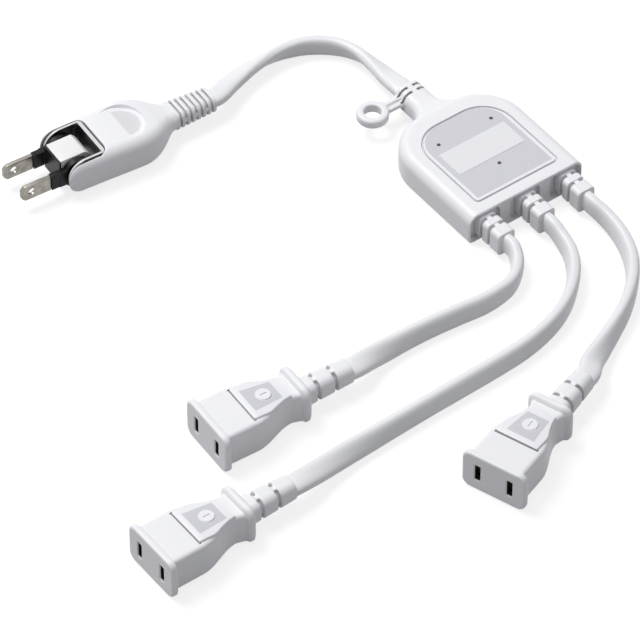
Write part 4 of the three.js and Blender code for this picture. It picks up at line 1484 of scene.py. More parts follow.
    def _panel_groove(self) -> Form:
        """The groove round the panel, wider at the top than at the bottom.

        Returns:
            The cutter.
        """
        floor, top = self.height - self.groove_depth, self.height + 1
        wide, narrow = self.groove_width, self.groove_width - self.groove_slope
        outer = [(floor, self.groove_slope), (self.height, 0.0), (top, -0.1)]
        inner = [(floor - 1, narrow), (floor, narrow), (self.height, wide), (top + 1, wide)]
        ring, island = (
            Form.loft([(at, self._panel(inset)) for at, inset in stops], Axis.Z) for stops in (outer, inner)
        )
        return ring.cut(island)

    def _label(self) -> Form:
        """The bare label plate, slightly raised, with sloped edges.

        Returns:
            The form.
        """
        low, high = self.height - self.label_rise, self.height + self.label_rise
        at = (0.0, self.label_y)
        base = rounded(self.label_width, self.label_depth, 0.6, at, 3)
        crown = rounded(self.label_width - 0.3, self.label_depth - 0.3, 0.5, at, 3)
        return Form.loft([(low, base), (self.height, base), (high, crown)], Axis.Z)

    def patch(self) -> PanelPatch:
        """The panel's textured area.

        Returns:
            The patch.
        """
        inset = self.groove_width + self.panel_land
        return PanelPatch(
            half=self.side - self.panel_side - inset,
            front=self.front + self.panel_front + inset,
            rear=self.rear - self.panel_rear - self.groove_width,
            radius=self.panel_radius - inset,
            label_half=self.label_width / 2,
            label_front=self.label_y - self.label_depth / 2,
            label_rear=self.label_y + self.label_depth / 2,
            floor=self.height - 0.25,
        )

    def build(self) -> bpy.types.Object:
        """Installs the dressed box.

        Returns:
            The box's piece.
        """
        finish = MouldedVinyl("box_vinyl", Slot.SOFT, VINYL_WHITE, 0.42, patch=self.patch())
        mesh = self.form().mesh("box_moulding")
        return install(mesh, "box_moulding", finish.material(), ["junction_housing"])


@dataclass
class OutletRelief:
    """A ringed bend relief, along +X from its flange behind the box's wall, in millimetres."""

    width: float = 7.4
    height: float = 9.6
    ring: float = 2.85
    groove: float = 1.45
    depth: float = 1.35
    end_ring: float = 4.8
    flange: float = 1.3
    flange_width: float = 9.0
    bridge: float = 1.8
    inset: float = 0.35
    radius: float = 1.7
    gap: float = 0.3

    def form(self, box: JunctionBox) -> Form:
        """The relief in its own frame.

        Args:
            box: what carries it.

        Returns:
            The form.
        """
        z = box.outlet_z
        stem = box.front_wall + self.gap
        flange_height = 2 * (box.outlet_z - box.wall - self.gap)
        length = 2 * (self.ring + self.groove) + self.end_ring
        core_w, core_h = self.width - 2 * self.depth, self.height - 2 * self.depth
        body = self._span(-stem - self.flange, -stem, self.flange_width, flange_height, z)
        pieces = [
            self._span(-stem - 0.5, self.gap + 0.5, box.stem[0], box.stem[1], z),
            self._span(self.gap, length, core_w, core_h, z),
        ]
        x = self.gap
        h, b = self.height / 2 - self.inset, self.bridge / 2
        for ring in (self.ring, self.ring, self.end_ring):
            pieces.append(self._span(x, x + ring, self.width, self.height, z, self.radius))
            if ring != self.end_ring:
                x0, x1 = x + ring - 0.2, x + ring + self.groove + 0.2
                pieces.append(Form.box(x0, x1, -b, b, z - h, z + h))
            x += ring + self.groove
        return body.add(*pieces).soften(0.18, 3, 0.5)

    @staticmethod
    def _span(
        x0: float, x1: float, width: float, height: float, z: float, radius: float = 1.2
    ) -> Form:
        """A straight stretch of one section."""
        return Form.bar([Station(x0, width, height, z), Station(x1, width, height, z)], radius)

    def build(self, box: JunctionBox, finish: bpy.types.Material) -> list[bpy.types.Object]:
        """Installs one relief in each bay.

        Args:
            box: what carries them.
            finish: their material.

        Returns:
            The three pieces.
        """
        mesh = self.form(box).turned(-90).moved(0, box.bay_floor, 0).mesh("relief_moulding")
        return [
            install(mesh, f"relief_{k}", finish, [f"outlet_relief_{k}"],
                    matrix=Matrix.Translation((x * MM, 0.0, 0.0)))
            for k, x in enumerate(box.outlets, 1)
        ]


# Sockets

@dataclass
class Socket:
    """A moulded cord socket along +X from its face, in millimetres."""

    pitch: float = 12.7
    face_width: float = 25.0
    face_height: float = 16.2
    face_radius: float = 3.0
    flange: float = 2.5
    grip_width: float = 20.8
    grip_bottom: float = 0.9
    grip_top: float = 15.3
    grip_radius: float = 1.6
    waist_start: float = 14.4
    waist_x: float = 31.0
    waist_width: float = 11.4
    waist_top: float = 14.3
    collar_x: float = 34.2
    collar_length: float = 3.4
    collar_width: float = 17.2
    collar_height: float = 15.8
    pad_rise: float = 0.75
    pad_groove: float = 0.6
    pad_width: float = 16.6
    pad_inset: float = 0.5
    patch_x: tuple[float, float] = (16.5, 28.0)
    patch_half: tuple[float, float] = (5.4, 4.3)
    disc_x: float = 22.9
    disc_radius: float = 2.7
    disc_rise: float = 0.35
    slot_width: float = 2.2
    slot_height: float = 6.8
    relief_z: float = 7.5
    relief_end: float = 57.4
    relief_size: tuple[float, float] = (9.4, 9.2)
    relief_end_size: tuple[float, float] = (8.0, 8.2)
    grooves: tuple[float, ...] = (42.2, 49.4)
    groove: float = 1.5
    groove_depth: float = 1.6
    bridge: float = 2.0
    inset: float = 0.3
    holder: tuple[float, float, float] = (11.4, 17.6, 9.4)
    tail: float = 3.4
    gap: float = 0.3

    def _grip(self, x: float, widen: float = 0.0) -> Station:
        """The grip's section at x, drawn in towards the waist.

        Args:
            x: the place along the socket.
            widen: added to the width.

        Returns:
            The section.
        """
        share = ease((x - self.waist_start) / (self.waist_x - self.waist_start))
        width = mix(self.grip_width, self.waist_width, share) + widen
        top = mix(self.grip_top, self.waist_top, share)
        return Station(x, width, top - self.grip_bottom, (top + self.grip_bottom) / 2)

    def _relief(self) -> list[Form]:
        """The tapered bend relief with its bridged grooves.

        Returns:
            The core, the rings and the bridges.
        """
        start = self.collar_x + self.collar_length

        def at(x: float) -> Station:
            """The relief's section at x.

            Args:
                x: the place along the relief.

            Returns:
                The section.
            """
            share = (x - start) / (self.relief_end - start)
            width = mix(self.relief_size[0], self.relief_end_size[0], share)
            height = mix(self.relief_size[1], self.relief_end_size[1], share)
            return Station(x, width, height, self.relief_z)

        d, b, z = self.groove_depth, self.bridge / 2, self.relief_z
        pieces = [Form.bar([at(start).trimmed(d), at(self.relief_end).trimmed(d)], 2.2)]
        x0 = start
        for x in (*self.grooves, self.relief_end):
            pieces.append(Form.bar([at(x0), at(x)], 3.0))
            if x != self.relief_end:
                h = at(x + self.groove).height / 2 - self.inset
                pieces.append(Form.box(x - 0.3, x + self.groove + 0.3, -b, b, z - h, z + h))
            x0 = x + self.groove
        return pieces

    def form(self) -> Form:
        """The whole moulding in its own frame.

        Returns:
            The form.
        """
        mid = self.face_height / 2
        face = Station(0.0, self.face_width, self.face_height, mid)

        def flat(x: float, trim: float) -> Station:
            """The face's section at x, trimmed all round."""
            return Station(x, face.width - 2 * trim, face.height - 2 * trim, mid)

        edge = [(0.0, 0.55), (0.15, 0.25), (0.45, 0.05), (0.8, 0.0)]
        edge += [(self.flange - 0.3, 0.0), (self.flange, 0.25)]
        flange = Form.bar([flat(x, trim) for x, trim in edge], self.face_radius, 8)
        xs = [self.flange - 0.5, *[self.waist_start + 1.2 * k for k in range(14)], self.waist_x]
        xs = sorted(x for x in xs if x <= self.waist_x)
        grip = Form.bar([*map(self._grip, xs), self._grip(self.collar_x + 0.8, 2.6)], self.grip_radius)
        start, end = self.collar_x, self.collar_x + self.collar_length
        steps = [(start, 2.4), (start + 0.5, 0.8), (start + 1.1, 0.0), (end - 1, 0.0), (end - 0.2, 1.6)]
        ring = [Station(x, self.collar_width - trim, self.collar_height - trim, mid) for x, trim in steps]
        width, height = self.relief_size
        collar = Form.bar([*ring, Station(end + 1, width + 1.4, height + 1.6, self.relief_z)], 3.6, 8)
        body = flange.add(grip, collar, *self._relief()).soften(0.26, 4, 0.5)
        body.cut(self._pad_groove()).add(self._pad(xs), self._disc())
        return body.cut(*self._hollows(mid))

    def _pad(self, xs: Sequence[float]) -> Form:
        """The raised plate on top, which follows the waist.

        Args:
            xs: the grip's places along +X.

        Returns:
            The form.
        """
        layers = []
        for x in (x for x in xs if x >= self.waist_start):
            section = self._grip(x)
            top = section.z + section.height / 2 + self.pad_rise
            width = min(self.pad_width, section.width - 2 * self.pad_inset)
            trim = 0.25 if x == self.waist_start else 0.0
            layers.append((x, rounded(width - 2 * trim, 3.0, 0.45, (0.0, top - 1.5 - trim), 4)))
        return Form.loft(layers, Axis.X)

    def _pad_groove(self) -> Form:
        """The narrow groove in front of the pad.

        Returns:
            The cutter.
        """
        half = self.pad_width / 2 + self.pad_groove / 2
        start = self.waist_start - self.pad_groove
        floor = self.grip_top - self.pad_groove
        return Form.box(start, self.waist_start + 0.5, -half, half, floor, self.grip_top + 2)

    def _disc(self) -> Form:
        """The plain disc with a short slot, raised on the pad.

        Returns:
            The form.
        """
        section = self._grip(self.disc_x)
        top = section.z + section.height / 2 + self.pad_rise + self.disc_rise
        disc = Form.pin(self.disc_radius, (self.disc_x, 0.0), top - 2, top, edge=0.15)
        slot = Form.prism(rounded(2.6, 0.55, 0.2, (self.disc_x, 0.0), 3), top - 0.25, top + 1)
        return disc.cut(slot)

    def _hollows(self, mid: float) -> list[Form]:
        """The blade slots, and the room for the holder and its contacts.

        Args:
            mid: the height of the face's centre.

        Returns:
            The cutters.
        """
        length, width, height = self.holder
        back = self.flange + length + 2 * self.gap
        half, room = width / 2 + self.gap, height / 2 + self.gap
        tail = self.pitch / 2 + 1.2
        cutters = [
            Form.box(self.flange, back, -half, half, mid - room, mid + room),
            Form.box(back - 1, back + self.tail, -tail, tail, mid - room + 2, mid + room - 2),
        ]
        for side in (-1, 1):
            at = (side * self.pitch / 2, mid)
            plain = rounded(self.slot_width, self.slot_height, 0.3, at, 3)
            wide = rounded(self.slot_width + 0.7, self.slot_height + 0.7, 0.5, at, 3)
            layers = [(-1.0, wide), (0.0, wide), (0.4, plain), (self.flange + 1, plain)]
            cutters.append(Form.loft(layers, Axis.X))
        return cutters

    def patch(self) -> PadPatch:
        """The pad's textured square.

        Returns:
            The patch.
        """
        section = self._grip(self.waist_start)
        return PadPatch(
            start=self.patch_x[0],
            end=self.patch_x[1],
            half_start=self.patch_half[0],
            half_end=self.patch_half[1],
            disc_x=self.disc_x,
            disc_radius=self.disc_radius,
            floor=section.z + section.height / 2 - 0.6,
        )

    def build(self, places: Sequence[Place]) -> list[bpy.types.Object]:
        """Installs the sockets, which share one mesh.

        Args:
            places: where they lie.

        Returns:
            The pieces.
        """
        slots = SlotShade(
            pitch=self.pitch,
            half_width=self.slot_width / 2 + 0.1,
            half_height=self.slot_height / 2 + 0.1,
            mid=self.face_height / 2,
            start=0.45,
            end=self.flange + 1.2,
        )
        vinyl = MouldedVinyl("socket_vinyl", Slot.SOFT, VINYL_WHITE, 0.42, patch=self.patch(), slots=slots)
        finish = vinyl.material()
        mesh = self.form().mesh("socket_moulding")
        return [
            install(mesh, f"socket_moulding_{k}", finish, [f"socket_{k}_body"], matrix=at.matrix())
            for k, at in enumerate(places, 1)
        ]


# Plug

@dataclass
class Plug:
    """The plug's grip with its window and finger dish, along +X from the sleeves' front, in millimetres."""

    height: float = 14.8
    front: float = 5.3
    front_width: float = 24.0
    rear_width: float = 25.8
    shoulder_x: float = 37.0
    neck_x: float = 53.0
    neck_width: float = 11.2
    neck_height: float = 7.6
    window_width: float = 20.2
    window_rear: float = 21.9
    window_radius: float = 3.6
    wall_side: float = 1.3
    wall_rear: float = 1.9
    frame_inset: float = 0.6
    frame_nose: float = 6.1
    pivot_x: float = 10.6
    boss_radius: float = 1.4
    dish_radius: float = 9.0
    dish_x: float = 33.0
    dish_depth: float = 1.3
    dish_ramp: float = 4.5
    dish_wall: float = 0.7
    dish_rim: float = 2.2
    # Painted shade of the dish's spark-textured flat: its greyer colour.
    dish_painted_shade_colour: Colour = (0.77, 0.77, 0.785)
    strip_height: float = 3.6
    strip_thickness: float = 0.4
    strip_reach: float = 6.0
    ribs: int = 8
    rib: float = 1.25
    rib_gap: float = 0.95
    rib_edge: float = 0.2
    relief_end_size: tuple[float, float] = (9.8, 6.8)
    groove_depth: float = 1.3
    bridge: float = 1.4
    inset: float = 0.45
    gap: float = 0.3

    @property
    def pivot_z(self) -> float:
        """The height of the swing axis."""
        return self.height / 2

    @property
    def relief_length(self) -> float:
        """The ribbed relief's length."""
        return self.ribs * self.rib + (self.ribs - 1) * self.rib_gap

    @property
    def relief_end(self) -> float:
        """The relief's end along +X."""
        return self.neck_x + self.relief_length

    @property
    def frame_outer(self) -> float:
        """Half the liner's width."""
        return self.window_width / 2 - self.gap

    def _stations(self) -> list[Station]:
        """The grip's sections from the nose to the relief.

        Returns:
            The sections.
        """
        top, mid = self.height, self.pivot_z
        low, high = mid - self.neck_height / 2, mid + self.neck_height / 2
        front, rear = self.front_width, self.rear_width
        spans = [
            (self.front, front - 3.2, 3.6, top - 3.8),
            (self.front + 0.3, front - 2.4, 2.7, top - 2.9),
            (self.front + 0.8, front - 1.6, 2.0, top - 2.1),
            (self.front + 1.5, front - 1.0, 1.25, top - 1.3),
            (self.front + 2.4, front - 0.6, 0.7, top - 0.7),
            (self.front + 3.6, front - 0.25, 0.2, top - 0.2),
            (self.front + 5.0, front, 0.0, top),
            (self.window_rear, front + 0.7, 0.0, top),
            (self.shoulder_x - 6, rear - 0.3, 0.0, top),
            (self.shoulder_x, rear, 0.0, top),
            (self.shoulder_x + 2, rear - 0.5, 0.15, top - 0.15),
            (self.shoulder_x + 4, rear - 1.6, 0.4, top - 0.4),
            (self.shoulder_x + 6, rear - 3.2, 0.8, top - 0.8),
            (self.shoulder_x + 8, rear - 5.4, 1.3, top - 1.3),
            (self.neck_x - 6.3, self.neck_width + 7.0, low - 1.6, high + 1.6),
            (self.neck_x - 4.6, self.neck_width + 4.4, low - 1.1, high + 1.1),
            (self.neck_x - 3.2, self.neck_width + 2.4, low - 0.6, high + 0.6),
            (self.neck_x - 2, self.neck_width + 1, low - 0.2, high + 0.2),
            (self.neck_x + 0.2, self.neck_width, low, high),
        ]
        return [Station(x, w, z1 - z0, (z0 + z1) / 2) for x, w, z0, z1 in spans]

    def _relief(self) -> list[Form]:
        """The ribs of the bend relief, every second gap bridged at the sides.

        Returns:
            The core, the ribs and the bridges.
        """

        def at(x: float) -> Station:
            """The relief's section at x.

            Args:
                x: the place along the relief.

            Returns:
                The section.
            """
            share = (x - self.neck_x) / self.relief_length
            width = mix(self.neck_width, self.relief_end_size[0], share)
            return Station(x, width, mix(self.neck_height, self.relief_end_size[1], share), self.pivot_z)

        d, b, z = self.groove_depth, self.bridge / 2, self.pivot_z
        pieces = [Form.bar([at(self.neck_x - 1).trimmed(d), at(self.relief_end).trimmed(d)], 1.8)]
        for k in range(self.ribs):
            x = self.neck_x + k * (self.rib + self.rib_gap)
            e = self.rib_edge
            rib = [at(x).trimmed(e), at(x + e), at(x + self.rib - e), at(x + self.rib).trimmed(e)]
            pieces.append(Form.bar(rib, 2.6))
            if k == self.ribs - 1:
                break
            if k % 2:
                w = at(x + self.rib).width / 2 - self.inset
                near, far = x + self.rib - 0.2, x + self.rib + self.rib_gap + 0.2
                pieces.append(Form.box(near, far, -w, w, z - b, z + b))
        return pieces

    def _strips(self) -> list[tuple[float, float]]:
        """The y ranges of the two fixed contact strips."""
        outer = self.frame_outer
        return [(-outer, -outer + self.strip_thickness), (outer - self.strip_thickness, outer)]

    def body_form(self) -> Form:
        """The soft grip with its relief.

        Returns:
            The form in the plug's frame.
        """
        body = Form.bar(self._stations(), 4.6, 10)
        length = self.window_rear + self.window_radius + 10
        plan = rounded(length, self.window_width, self.window_radius, (self.window_rear - length / 2, 0.0), 8)
        body.cut(Form.prism(plan, -1, REACH)).soften(0.27, 5, 0.5).add(*self._relief())
        x0, x1 = self.window_rear - 4, self.window_rear + self.strip_reach + self.gap
        z, h = self.pivot_z, self.strip_height / 2 + self.gap
        for y0, y1 in self._strips():
            body.cut(Form.box(x0, x1, y0 - self.gap, y1 + self.gap, z - h, z + h))
        return body.cut(self._dish())

    def _dish(self) -> Form:
        """The finger dish's recess, deepest at its round rear wall and level at the front.

        Returns:
            The cutter.
        """
        top, floor = self.height, self.height - self.dish_depth
        radius = self.dish_radius
        stops = [(floor, radius - self.dish_wall), (top, radius), (top + 1, radius + 0.3)]
        centre = (self.dish_x, 0.0)
        dish = Form.loft([(z, circle(r, centre, 96)) for z, r in stops], Axis.Z)
        start, end = self.dish_x - self.dish_ramp, self.dish_x + self.dish_ramp
        slope = [
            (start, top),
            (end, floor),
            (REACH, floor - 0.05),
            (REACH, top + 2),
            (start - 5, top + 2),
            (start - 5, top + 0.7),
        ]
        return dish.within(Form.prism(slope, -REACH, REACH, Axis.Y))

    def frame_form(self) -> Form:
        """The hard liner round the swinging head, open to the front.

        Returns:
            The form in the plug's frame.
        """
        rear = self.window_rear - self.gap
        length = rear - self.frame_nose + 10
        centre = rear - length / 2
        outer = rounded(length, 2 * self.frame_outer, self.window_radius - self.gap, (centre, 0.0), 10)
        inner_at = (centre - self.wall_rear - 10, 0.0)
        inner = rounded(length + 20, 2 * (self.frame_outer - self.wall_side), 1.8, inner_at, 8)
        z0, z1 = self.frame_inset, self.height - self.frame_inset
        nose = (z1 - z0) / 2
        side = [(REACH, z0), (REACH, z1)]
        for k in range(33):
            angle = math.radians(90 + 180 * k / 32)
            x = self.frame_nose + nose + nose * math.cos(angle)
            side.append((x, self.pivot_z + nose * math.sin(angle)))
        body = Form.prism(outer, z0, z1).within(Form.prism(side, -REACH, REACH, Axis.Y))
        h = self.strip_height / 2 + self.gap
        grooves = []
        for y0, y1 in self._strips():
            low, high = (y0 - self.gap, REACH) if y0 > 0 else (-REACH, y1 + self.gap)
            grooves.append(Form.box(self.pivot_x - h, REACH, low, high, self.pivot_z - h, self.pivot_z + h))
        pivot = (self.pivot_x, self.pivot_z)
        bearing = Form.pin(self.boss_radius + self.gap, pivot, -REACH, REACH, Axis.Y)
        return body.cut(Form.prism(inner, -1, REACH), *grooves, bearing).bevel(0.22)

    def build(self, place: Place, liner: bpy.types.Material) -> list[bpy.types.Object]:
        """Installs the grip and its liner.

        Args:
            place: where the plug lies.
            liner: the liner's material.

        Returns:
            The two pieces.
        """
        dish = DishPatch(
            centre=self.dish_x,
            radius=self.dish_radius - self.dish_rim,
            front=self.dish_x - 0.6,
            low=self.height - self.dish_depth,
            high=self.height - 0.3,
        )
        vinyl = MouldedVinyl(
            "plug_vinyl", Slot.SOFT, VINYL_WHITE, 0.4, patch=dish, patch_painted_shade_colour=self.dish_painted_shade_colour
        )
        rows = [
            ("plug_moulding", self.body_form(), vinyl.material(), Slot.SOFT, "plug_body"),
            ("plug_liner", self.frame_form(), liner, Slot.HARD, "plug_frame"),
        ]
        return [
            install(form.mesh(name), name, finish, [node], matrix=place.matrix())
            for name, form, finish, slot, node in rows
        ]


@dataclass
class SwingHead:
    """The head that swings in the plug: white drum, black core with its front plate, and two blades."""

    pin_pitch: float = 12.7
    drum_width: float = 10.2
    half_height: float = 6.2
    front: float = 6.2
    chamfer: float = 1.8
    plate: float = 0.7
    rear_radius: float = 7.6
    core_radius: float = 4.2
    cheek: float = 2.4
    cheek_radius: float = 5.8
    sleeve_height: float = 6.4
    sleeve_thickness: float = 2.4
    blade_length: float = 12.0
    blade_height: float = 6.3
    blade_thickness: float = 1.5
    hole: float = 3.0
    hole_x: float = 4.2
    tip: float = 1.5
    root_height: float = 4.4
    root_thickness: float = 0.8
    root_radius: float = 2.6
    gap: float = 0.3

    def drum_form(self, plug: Plug) -> Form:
        """The white drum.

        Args:
            plug: what it swings in.

        Returns:
            The form in the plug's frame.
        """
        x, z, h, c = plug.pivot_x, plug.pivot_z, self.half_height, self.chamfer
        tangent = math.asin(h / self.rear_radius)
        face = x - self.front + self.plate
        outline = [(face, z + h), (face, z - h + c - self.plate), (x - self.front + c, z - h)]
        for k in range(25):
            angle = mix(-tangent, tangent, k / 24)
            outline.append((x + self.rear_radius * math.cos(angle), z + self.rear_radius * math.sin(angle)))
        block = Form.prism(outline, -self.drum_width / 2, self.drum_width / 2, Axis.Y)
        bore = Form.pin(self.core_radius + self.gap, (x, z), -REACH, REACH, Axis.Y, sides=64)
        return block.cut(bore).bevel(0.25)

    def core_form(self, plug: Plug) -> Form:
        """The black moulding: two cheeks with their sleeves, joined by a bar and the front plate.

        Args:
            plug: what it swings in.

        Returns:
            The form in the plug's frame.
        """
        x, z, h = plug.pivot_x, plug.pivot_z, self.sleeve_height / 2
        inner = self.drum_width / 2 + self.gap
        outer = inner + self.cheek
        blade_y = self.pin_pitch / 2
        front = x - self.front - self.gap
        body = Form.pin(self.core_radius, (x, z), -outer + 0.5, outer - 0.5, Axis.Y)
        face, low, high = x - self.front, z - self.half_height, z + self.half_height - 0.2
        side_view = [
            (face, high),
            (face, low + self.chamfer),
            (face + self.plate, low + self.chamfer - self.plate),
            (face + self.plate, high),
        ]
        pieces = [Form.prism(side_view, -inner - 0.2, inner + 0.2, Axis.Y)]
        pockets = []
        for side in (-1, 1):
            c0, c1 = sorted((side * inner, side * outer))
            s0, s1 = sorted(side * (blade_y + sign * self.sleeve_thickness / 2) for sign in (-1, 1))
            pieces.append(Form.pin(self.cheek_radius, (x, z), c0, c1, Axis.Y, sides=64))
            pieces.append(Form.box(0, front, s0, s1, z - h, z + h))
            pieces.append(Form.box(front - 1, x, c0, c1, z - h, z + h))
            r = self.root_thickness / 2 + self.gap
            r0, r1 = sorted((side * (blade_y - r), side * (blade_y + r)))
            tall = self.root_height / 2 + self.gap
            pockets.append(Form.box(-1, x, r0, r1, z - tall, z + tall))
            pockets.append(Form.pin(self.root_radius + self.gap, (x, z), r0, r1, Axis.Y))
            b0, b1 = sorted((side * blade_y, side * (outer + 1)))
            pockets.append(Form.pin(plug.boss_radius + self.gap, (x, z), b0, b1, Axis.Y))
        return body.add(*pieces).soften(0.14, 3, 0.5).cut(*pockets)

    def blade_form(self, plug: Plug, side: int) -> Form:
        """A blade with a round hole near its tip.

        Args:
            plug: what it swings in.
            side: 1 or -1, the sign of its y.

        Returns:
            The form in the plug's frame.
        """
        z, h, t, c = plug.pivot_z, self.blade_height / 2, self.blade_thickness / 2, self.tip
        tip = -self.blade_length
        corner = [(tip, h - c), (tip + 0.45 * c, h - 0.45 * c), (tip + c, h), (-self.gap, h)]
        outline = [(x, z - rise) for x, rise in corner] + [(x, z + rise) for x, rise in reversed(corner)]
        plate = Form.prism(outline, -t, t, Axis.Y)
        plate.cut(Form.pin(self.hole / 2, (tip + self.hole_x, z), -5, 5, Axis.Y)).bevel(0.22)
        r = self.root_thickness / 2
        tall = self.root_height / 2
        root = Form.box(-1, plug.pivot_x, -r, r, z - tall, z + tall)
        disc = Form.pin(self.root_radius, (plug.pivot_x, z), -r, r, Axis.Y)
        reach = plug.frame_outer - plug.strip_thickness - self.gap - self.pin_pitch / 2
        b0, b1 = sorted((0.0, side * reach))
        boss = Form.pin(plug.boss_radius, (plug.pivot_x, z), b0, b1, Axis.Y)
        return plate.add(root, disc, boss).moved(0, side * self.pin_pitch / 2, 0)

    def build(
        self, plug: Plug, place: Place, finishes: dict[Slot, bpy.types.Material]
    ) -> list[bpy.types.Object]:
        """Installs the head's pieces on their own body.

        Args:
            plug: what the head swings in.
            place: where the plug lies.
            finishes: the materials by slot.

        Returns:
            The pieces.
        """
        rows = [
            ("swing_drum", self.drum_form(plug), Slot.HARD, "head_drum"),
            ("swing_core", self.core_form(plug), Slot.BLACK, "head_core"),
            ("left_blade", self.blade_form(plug, 1), Slot.NICKEL, "blade_a"),
            ("right_blade", self.blade_form(plug, -1), Slot.NICKEL, "blade_b"),
        ]
        return [
            install(form.mesh(name), name, finishes[slot], [node], Body.HEAD, place.matrix())
            for name, form, slot, node in rows
        ]


# Values for this object

VINYL_WHITE = (0.86, 0.86, 0.875)
PLUG_PLACE = Place(-128.5, 84.1, -4.6)
SOCKET_PLACES = [Place(-157.2, -54.8, -3.4), Place(-205.0, -89.5, -0.2), Place(-92.2, -128.6, 19.4)]
BOX = JunctionBox()
PLUG = Plug()
SOCKET = Socket()
OUTLET_END = -0.0408

MAIN_ROUTE = [
    (*PLUG_PLACE.point(PLUG.relief_end + 0.3, PLUG.pivot_z), 0),
    (*PLUG_PLACE.point(PLUG.relief_end + 2.5, PLUG.pivot_z), 0),
    (-0.0476, 0.0820, 0.0059, -10),
    (-0.0376, 0.0850, 0.0048, -30),
    (-0.0290, 0.0860, 0.0044, -54),
    (-0.0214, 0.0856, 0.0043, -72),
    (-0.0138, 0.0834, 0.0043, -86),
    (-0.0076, 0.0794, 0.0043, -88),
    (-0.0029, 0.0740, 0.0043, -80),
    (-0.0002, 0.0674, 0.0043, -62),
    (0.0007, 0.0590, 0.0044, -38),
    (0.0004, 0.0506, 0.0051, -14),
    (0.0, 0.0442, 0.0063, 0),
    (0.0, 0.0405, 0.0063, 0),
]
OUTLET_ROUTES = [
    [
        (-0.0178, OUTLET_END - 0.0003, 0.0060, -90),
        (-0.0178, OUTLET_END - 0.0040, 0.0060, -90),
        (-0.0196, -0.0492, 0.0050, -94),
        (-0.0234, -0.0536, 0.0045, -98),
        (-0.0286, -0.0568, 0.0043, -90),
        (-0.0350, -0.0581, 0.0043, -80),
        (-0.0420, -0.0583, 0.0043, -76),
        (-0.0500, -0.0574, 0.0043, -75),
        (-0.0600, -0.0564, 0.0043, -75),
        (-0.0710, -0.0558, 0.0043, -72),
        (-0.0816, -0.0560, 0.0047, -58),
        (-0.0906, -0.0570, 0.0060, -34),
        (*SOCKET_PLACES[0].point(SOCKET.relief_end + 3, SOCKET.relief_z), -8),
        (*SOCKET_PLACES[0].point(SOCKET.relief_end + 0.3, SOCKET.relief_z), 0),
    ],
    [
        (0.0, OUTLET_END - 0.0003, 0.0060, -90),
        (0.0, OUTLET_END - 0.0040, 0.0060, -90),
        (-0.0005, -0.0500, 0.0050, -94),
        (-0.0022, -0.0568, 0.0045, -100),
        (-0.0058, -0.0634, 0.0043, -102),
        (-0.0110, -0.0694, 0.0043, -98),
        (-0.0176, -0.0748, 0.0043, -90),
        (-0.0254, -0.0790, 0.0043, -84),
        (-0.0346, -0.0820, 0.0043, -80),
        (-0.0450, -0.0838, 0.0043, -76),
        (-0.0570, -0.0845, 0.0043, -74),
        (-0.0710, -0.0849, 0.0043, -74),
        (-0.0870, -0.0853, 0.0043, -74),
        (-0.1040, -0.0859, 0.0043, -68),
        (-0.1210, -0.0866, 0.0045, -48),
        (-0.1346, -0.0882, 0.0058, -26),
        (*SOCKET_PLACES[1].point(SOCKET.relief_end + 4, SOCKET.relief_z), -8),
        (*SOCKET_PLACES[1].point(SOCKET.relief_end + 0.3, SOCKET.relief_z), 0),
    ],
    [
        (0.0178, OUTLET_END - 0.0003, 0.0060, -90),
        (0.0178, OUTLET_END - 0.0040, 0.0060, -92),
        (0.0184, -0.0520, 0.0050, -96),
        (0.0172, -0.0610, 0.0045, -102),
        (0.0140, -0.0700, 0.0043, -104),
        (0.0090, -0.0778, 0.0043, -98),
        (0.0024, -0.0846, 0.0043, -90),
        (-0.0054, -0.0904, 0.0043, -82),
        (-0.0140, -0.0953, 0.0044, -72),
        (-0.0226, -0.0999, 0.0050, -56),
        (-0.0304, -0.1044, 0.0064, -30),
        (*SOCKET_PLACES[2].point(SOCKET.relief_end + 3, SOCKET.relief_z), -8),
        (*SOCKET_PLACES[2].point(SOCKET.relief_end + 0.3, SOCKET.relief_z), 0),
    ],
]


INNER_PARTS = {
    Slot.HARD: ["junction_core_tray", "junction_core_lid"],
    # The socket holders, whose own colour is unknown, take black plastic so that the blade slots read dark:
    # painted shade inside the slots.
    Slot.BLACK: [f"socket_{k}_holder" for k in (1, 2, 3)],
    Slot.BRASS: [
        "bus_bar_front",
        "bus_bar_rear",
        "plug_strip_a",
        "plug_strip_b",
        *[f"socket_{k}_contact_{side}" for k in (1, 2, 3) for side in "ab"],
    ],
}


def dress_inner_parts(finishes: dict[Slot, bpy.types.Material]) -> None:
    """Gives the solids that stay as they are inside the mouldings their finish.

    Args:
        finishes: the materials by slot.
    """
    for slot, names in INNER_PARTS.items():
        for name in names:
            for place in bpy.data.objects[name].material_slots:
                place.material = finishes[slot]
        log.info("%s: %d inner parts dressed", slot.value, len(names))


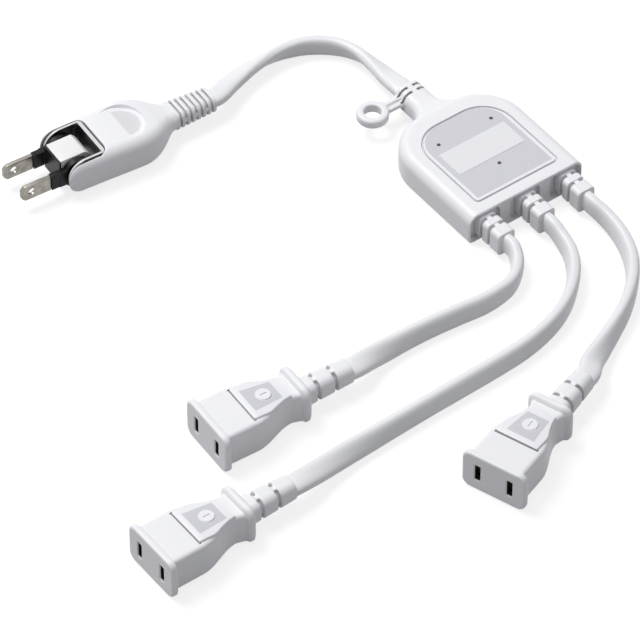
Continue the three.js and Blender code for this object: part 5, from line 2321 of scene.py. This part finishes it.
def make_finishes() -> dict[Slot, bpy.types.Material]:
    """Builds the finishes that several pieces share.

    Returns:
        The materials by slot.
    """
    rows = [
        MouldedVinyl("soft_vinyl", Slot.SOFT, VINYL_WHITE, 0.42),
        CordSheath("cord_vinyl", Slot.SHEATH, (0.85, 0.85, 0.86), 0.38),
        HardPlastic("hard_plastic", Slot.HARD, (0.86, 0.86, 0.84), 0.3),
        HardPlastic("black_plastic", Slot.BLACK, (0.008, 0.008, 0.009), 0.36, index=1.3),
        StampedMetal("nickel_plate", Slot.NICKEL, (0.36, 0.34, 0.305), 0.24, 1.0),
        StampedMetal("brass_sheet", Slot.BRASS, (0.3, 0.215, 0.085), 0.34, 1.0),
    ]
    return {finish.slot: finish.material() for finish in rows}


def main() -> None:
    """Builds the studio, then the cords, then each sub-assembly."""
    logging.basicConfig(level=logging.INFO, format="%(message)s")
    Studio().build()
    finishes = make_finishes()
    main_cord = FlatCord("main_cord", "cord_main", MAIN_ROUTE, "plug", exit_last=True)
    outlet_cords = [
        FlatCord(f"outlet_cord_{k}", f"cord_outlet_{k}", route, "connector")
        for k, route in enumerate(OUTLET_ROUTES, 1)
    ]
    main_piece = main_cord.build(finishes[Slot.SHEATH])
    outlet_pieces = [cord.build(finishes[Slot.SHEATH]) for cord in outlet_cords]
    BOX.build()
    OutletRelief().build(BOX, finishes[Slot.SOFT])
    sockets = SOCKET.build(SOCKET_PLACES)
    liner = LinerPaintedShade("liner_painted_shade", Slot.HARD, (0.7, 0.7, 0.69), 0.3).material()
    plug_pieces = PLUG.build(PLUG_PLACE, liner)
    plug_pieces += SwingHead().build(PLUG, PLUG_PLACE, finishes)
    dress_inner_parts(finishes)
    main_cord.declare(main_piece, [*plug_pieces, "plug_strip_a", "plug_strip_b"])
    for k, (cord, piece) in enumerate(zip(outlet_cords, outlet_pieces), 1):
        inner = [f"socket_{k}_holder", f"socket_{k}_contact_a", f"socket_{k}_contact_b"]
        cord.declare(piece, [sockets[k - 1], *inner])


if __name__ == "__main__":
    main()
